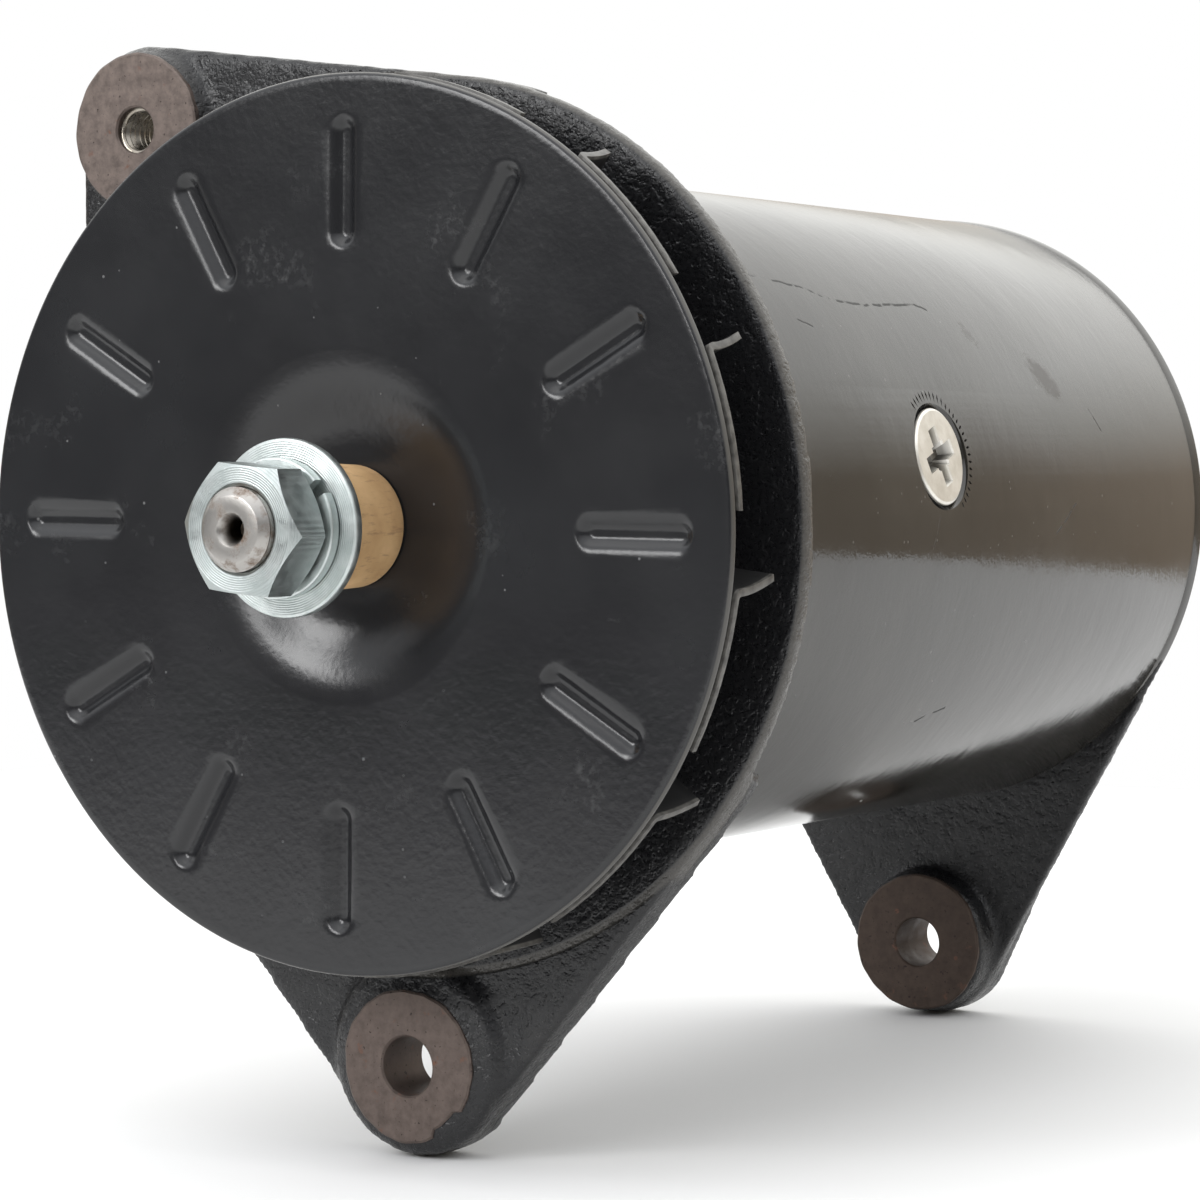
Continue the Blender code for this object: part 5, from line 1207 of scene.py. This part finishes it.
# %% [markdown]
# ## Yoke
#
# The yoke is a strip of steel rolled into a tube, welded and turned at both ends. It carries the
# field, so it is thick, and it is dipped in glossy enamel. Two countersunk holes take the pole
# screws, and each screw was staked after tightening, which left a row of short chisel marks
# round part of its rim. The tube is spun, its holes are cut, and the marks are cut with them.

# %% Yoke
YOKE_RADIUS, YOKE_BORE = 57.15, 50.8
YOKE_FRONT, YOKE_REAR = 7.1, 181.5
POLE_Y = 77
STAKES, LONG_STAKES_FROM = 27, 17


def upright(shape, profile, steps=72):
    """Spins a profile of (radius, height) about Z."""
    spun(shape, [(r, 0, h) for r, h in profile], steps, axis=(0, 0, 1))


def stand(shape, turn):
    """Stands a shape made about Z on the yoke at an angle about the shaft."""
    outward = Matrix.Translation((0, POLE_Y, 0)) @ Matrix.Rotation(pi / 2 - turn, 4, "Y")
    ops.transform(shape, matrix=outward, verts=shape.verts)
    return shape


def screw_hole(turn):
    """The countersunk hole for a pole screw."""
    shape = bmesh.new()
    top, lip = YOKE_RADIUS + 3, YOKE_RADIUS - 0.5
    profile = [(0, top), (9.35, top), (9.3, lip), (6.2, lip - 3.8), (5.6, lip - 3.9)]
    upright(shape, profile + [(5.6, 48), (0, 48)])
    return lifted("cutter", stand(shape, turn))


def stake_marks(turn):
    """Short chisel marks round the upper and rear side of the hole, laid on the barrel."""
    shape = bmesh.new()
    for i in range(STAKES):
        spin = radians(36 + 6.9 * i)
        long = 1 if i < LONG_STAKES_FROM else 1.35
        x, y = on_circle(9.25 + long, spin)
        top = (YOKE_RADIUS**2 - x**2) ** 0.5 - 0.25
        place = Matrix.Translation((x, y, top)) @ Matrix.Rotation(spin, 4, "Z")
        ops.create_cone(
            shape, cap_ends=True, segments=4, radius1=0.05, radius2=long, depth=1.3,
            matrix=place @ Matrix.Diagonal((1, 0.36 / long, 1, 1)),
        )
    return lifted("cutter", stand(shape, turn))


def make_yoke():
    shape = bmesh.new()
    turned(shape, rounded(box(YOKE_BORE, YOKE_RADIUS, YOKE_FRONT, YOKE_REAR), 0.12), 256)
    yoke = hand_over("yoke_tube", shape, YOKE_ENAMEL, "housing", "yoke_black_enamel", "yoke", 30)
    for turn in (POLE_TURN, POLE_TURN + pi):
        carve(yoke, [stake_marks(turn), screw_hole(turn)])
    yoke.data.set_sharp_from_angle(angle=radians(30))


make_yoke()

# %% [markdown]
# ## Pole screws
#
# A pole screw pulls its pole shoe against the inside of the yoke. Its head is countersunk and
# zinc plated, and its recess is a plain cross, hot-forged with sloping walls. The head is
# turned, and the cross is cut by two wedges and a point in the middle.

# %% Pole screws
HEAD_TOP, HEAD_RADIUS = 56.85, 8.3


def cross_wedge(turn, spin):
    """One of the two wedges of a cross recess, narrower and shorter at its foot."""
    shape = bmesh.new()
    ops.create_cube(shape, size=1)
    for vert in shape.verts:
        length, width, rise = (7.2, 1.4, -2.3) if vert.co.z < 0 else (10.6, 3, 0.4)
        vert.co = (vert.co.x * length, vert.co.y * width, HEAD_TOP + rise)
    ops.rotate(shape, verts=shape.verts, matrix=Matrix.Rotation(spin, 3, "Z"))
    return lifted("cutter", stand(shape, turn))


def cross_point(turn, spin):
    """The four-sided point in the middle of a cross recess."""
    shape = bmesh.new()
    place = Matrix.Translation((0, 0, HEAD_TOP - 1.2)) @ Matrix.Rotation(spin + pi / 4, 4, "Z")
    ops.create_cone(
        shape, cap_ends=True, segments=4, radius1=1, radius2=3.4, depth=3.4, matrix=place,
    )
    return lifted("cutter", stand(shape, turn))


def make_pole_screw(side, turn, spin):
    shape = bmesh.new()
    profile = [(0, 0.12), (HEAD_RADIUS * 0.5, 0.1), (HEAD_RADIUS - 0.55, 0), (HEAD_RADIUS - 0.1, -0.3)]
    profile += [(HEAD_RADIUS, -0.6), (5, -4), (5, -15.5), (0, -15.5)]
    upright(shape, [(r, HEAD_TOP + h) for r, h in profile])
    name = f"pole_screw_head_{side}"
    screw = hand_over(
        name, stand(shape, turn), SCREW_ZINC, "housing", "zinc_plate", f"pole_screw_{side}", 30,
    )
    wedges = [cross_wedge(turn, spin), cross_wedge(turn, spin + pi / 2)]
    # The point goes first: after the wedges, whose floors are level, the cut can come out empty
    carve(screw, [cross_point(turn, spin), *wedges])
    screw.data.set_sharp_from_angle(angle=radians(30))


make_pole_screw("right", POLE_TURN, radians(20))
make_pole_screw("left", POLE_TURN + pi, radians(-35))

# %% [markdown]
# ## Shaft, nut and washers
#
# The stack on the nose, from the front: the shaft's end with its lathe centre, a plain hexagon
# nut with both faces chamfered, a split spring washer, a plain washer with turning marks, and
# the card tube that keeps the place of the pulley. A nut is a hexagon bar turned to a
# barrel, so it is cut the same way, by keeping what lies inside the barrel.

# %% Shaft and nut
NOSE_FRONT = -43.5
# The centre hole, the end face and the start of the thread, then the rest of the shaft
NOSE = (
    (0, 5), (1.3, 4.2), (1.35, 2.4), (2.35, 0.25), (2.6, 0.03), (2.9, 0), (4.9, 0), (5.2, 0.1),
    (6.05, 1.1),
)
SHAFT = (
    (7.9, -26.7), (7.9, -11), (8.5, -11), (8.5, 18.6), (9.5, 18.6), (9.5, 160.4),
    (7.5, 160.4), (7.5, 190.7), (6.4, 191.8), (0, 191.8),
)
THREAD_RADIUS, THREAD_DEPTH, THREAD_STEP = 6.35, 0.32, 0.318


def make_shaft():
    profile = [(r, NOSE_FRONT + y) for r, y in NOSE]
    for i in range(48):
        depth = THREAD_DEPTH * (1 - cos(FULL * i / 4)) / 2
        profile.append((THREAD_RADIUS - depth, NOSE_FRONT + 1.3 + THREAD_STEP * i))
    shape = bmesh.new()
    turned(shape, profile + list(SHAFT), 96)
    hand_over("shaft_turned", shape, STEEL, "armature", "ground_steel", "armature_shaft", 35)


def make_nut(node, finish, body, flats, bore, front, rear, turn, centre=(0, 0), chamfer=1.2):
    """A hexagon bar, kept where it lies inside a chamfered barrel with a bore."""
    corner = flats / 2 / cos(pi / 6)
    shape = bmesh.new()
    points = [on_circle(corner, turn + i * pi / 3, centre) for i in range(6)]
    face = shape.faces.new([shape.verts.new((x, front, z)) for x, z in points])
    push(shape, [face], rear - front)
    nut = hand_over(f"{node}_chamfered", shape, finish, body, "zinc_plate", node, 30)
    near, far = flats / 2 - 0.15, corner + 0.05
    barrel = [(bore + 0.5, front), (near, front), (far, front + chamfer), (far, rear - chamfer)]
    barrel += [(near, rear), (bore + 0.5, rear), (bore, rear - 0.5), (bore, front + 0.5)]
    shell = bmesh.new()
    turned(shell, barrel, 96, centre)
    carve(nut, [lifted("cutter", shell)], "INTERSECT")
    nut.data.set_sharp_from_angle(angle=radians(24))
    soften(nut, "worn_edges", 0.14, 24)


make_shaft()
make_nut("shaft_nut", ZINC_FACED, "armature", 19.05, 6.45, -41.6, -33.6, radians(-6))

# %% [markdown]
# The spring washer starts as a square section and is carried round the shaft and a little along
# it, so its two sheared ends stand apart. The card tube's outline swells over the key.

# %% Washers and tube
def make_spring_washer():
    steps, start, gap, rise = 90, radians(36), radians(13), 0.5
    shape = bmesh.new()
    section = rounded(box(6.7, 10.7, -32.95, -31.05), 0.35)
    face = shape.faces.new([shape.verts.new((r, y + rise / 2, 0)) for r, y in section])
    ops.spin(
        shape, geom=[face], cent=(0, 0, 0), axis=(0, 1, 0), dvec=(0, -rise / steps, 0),
        angle=FULL - gap, steps=steps, use_merge=False,
    )
    ops.rotate(shape, verts=shape.verts, matrix=Matrix.Rotation(gap / 2 - start, 3, "Y"))
    hand_over("spring_washer_split", shape, ZINC, "armature", "zinc_plate", "spring_washer", 40)


def make_plain_washer():
    shape = bmesh.new()
    turned(shape, rounded(box(6.65, 13.6, -30.6, -28.8), 0.6, 4), 128)
    hand_over("plain_washer_turned", shape, ZINC_FACED, "armature", "zinc_plate", "plain_washer", 50)


def make_card_tube():
    key_turn, spread = radians(170), radians(50)
    shape = bmesh.new()
    turned(shape, rounded(box(8.2, 9.6, -28.5, -12.7), 0.25, 2), 128)
    long = [e for e in shape.edges if abs(e.verts[0].co.y - e.verts[1].co.y) > 10]
    ops.subdivide_edges(shape, edges=long, cuts=12)
    for vert in shape.verts:
        radius, turn = hypot(vert.co.x, vert.co.z), atan2(vert.co.z, vert.co.x)
        away = abs((turn - key_turn + pi) % FULL - pi)
        swell = 1.75 * max(0, cos(min(1, away / spread) * pi / 2)) ** 0.5
        seam = 0.09 * sin(2 * turn + vert.co.y * 0.42) if radius > 9 else 0
        vert.co.x, vert.co.z = on_circle(radius + swell + seam, turn)
    hand_over("card_tube", shape, CARD, "armature", "tan_cardboard", "spacer_tube", 50)


make_spring_washer()
make_plain_washer()
make_card_tube()

# %% [markdown]
# ## Terminals and through bolts
#
# Two long bolts hold the brackets and the yoke together, with slotted cheese heads on the rear
# cover. Beside them stand the output and field terminals: threaded brass studs in fibre bushings,
# each with a nut. The studs' threads are turned as rings, which look the same at this size.

# %% Rear fittings
BOLT_SEAT, BOLT_TOP, BOLT_HEAD = 187.3, 191.3, 4.7
STUD_START, STUD_END, STUD_PITCH = 180.5, 198.4, 0.8


def make_bolt(number, turn):
    centre = on_circle(BOLT_CIRCLE, turn)
    shape = bmesh.new()
    profile = [(0, 5.6), (2.5, 5.6), (2.5, BOLT_SEAT), (BOLT_HEAD, BOLT_SEAT)]
    profile += [(BOLT_HEAD, BOLT_TOP - 0.9), (BOLT_HEAD - 0.25, BOLT_TOP - 0.4)]
    turned(shape, profile + [(BOLT_HEAD - 0.9, BOLT_TOP - 0.08), (0, BOLT_TOP)], 48, centre)
    name = f"through_bolt_head_{number}"
    bolt = hand_over(name, shape, ZINC, "housing", "zinc_plate", f"through_bolt_{number}")
    slot = bmesh.new()
    ops.create_cube(slot, size=1, matrix=Matrix.Diagonal((14, 2.8, 1.1, 1)))
    ops.rotate(slot, verts=slot.verts, matrix=Matrix.Rotation(radians(25 * number), 3, "Y"))
    ops.translate(slot, verts=slot.verts, vec=(centre[0], BOLT_TOP, centre[1]))
    carve(bolt, [lifted("cutter", slot)])
    bolt.data.set_sharp_from_angle(angle=radians(35))


def make_terminal(number, turn, radius):
    """The stud with its inner head, the bushing round it and the nut."""
    centre = on_circle(TERMINAL_CIRCLE, turn)
    stud, step = bmesh.new(), STUD_PITCH / 4
    head = radius + 2.2
    profile = [(0, 178.5), (head, 178.5), (head, STUD_START), (radius - 0.2, STUD_START)]
    for i in range(int((STUD_END - STUD_START) / step)):
        profile.append((radius - 0.13 * (1 + cos(FULL * i / 4)), STUD_START + step * i))
    turned(stud, profile + [(radius - 0.5, 199), (0, 199)], 36, centre)
    name, node = f"terminal_stud_thread_{number}", f"terminal_stud_{number}"
    hand_over(name, stud, SIMPLE["sheet_brass"], "housing", "sheet_brass", node, 30)
    bushing, bore = bmesh.new(), radius + 0.3
    sleeve, flange = bore + 1.3, bore + 4.6
    profile = [(bore, 180.8), (sleeve, 180.8), (sleeve, 187.3), (flange, 187.3), (flange, 188.7)]
    turned(bushing, profile + [(flange - 0.4, 189.1), (bore, 189.1)], 48, centre)
    node = f"terminal_bushing_{number}"
    hand_over(f"{node}_fibre", bushing, SIMPLE["red_fibre"], "housing", "red_fibre", node, 40)
    node, flats = f"terminal_nut_{number}", radius * 2 + 5.1
    make_nut(node, ZINC, "housing", flats, radius + 0.1, 189.4, 192.6, turn, centre, 0.7)


for number, turn in enumerate(BOLT_TURNS, 1):
    make_bolt(number, turn)
for number, (turn, radius) in enumerate(TERMINALS, 1):
    make_terminal(number, turn, radius)
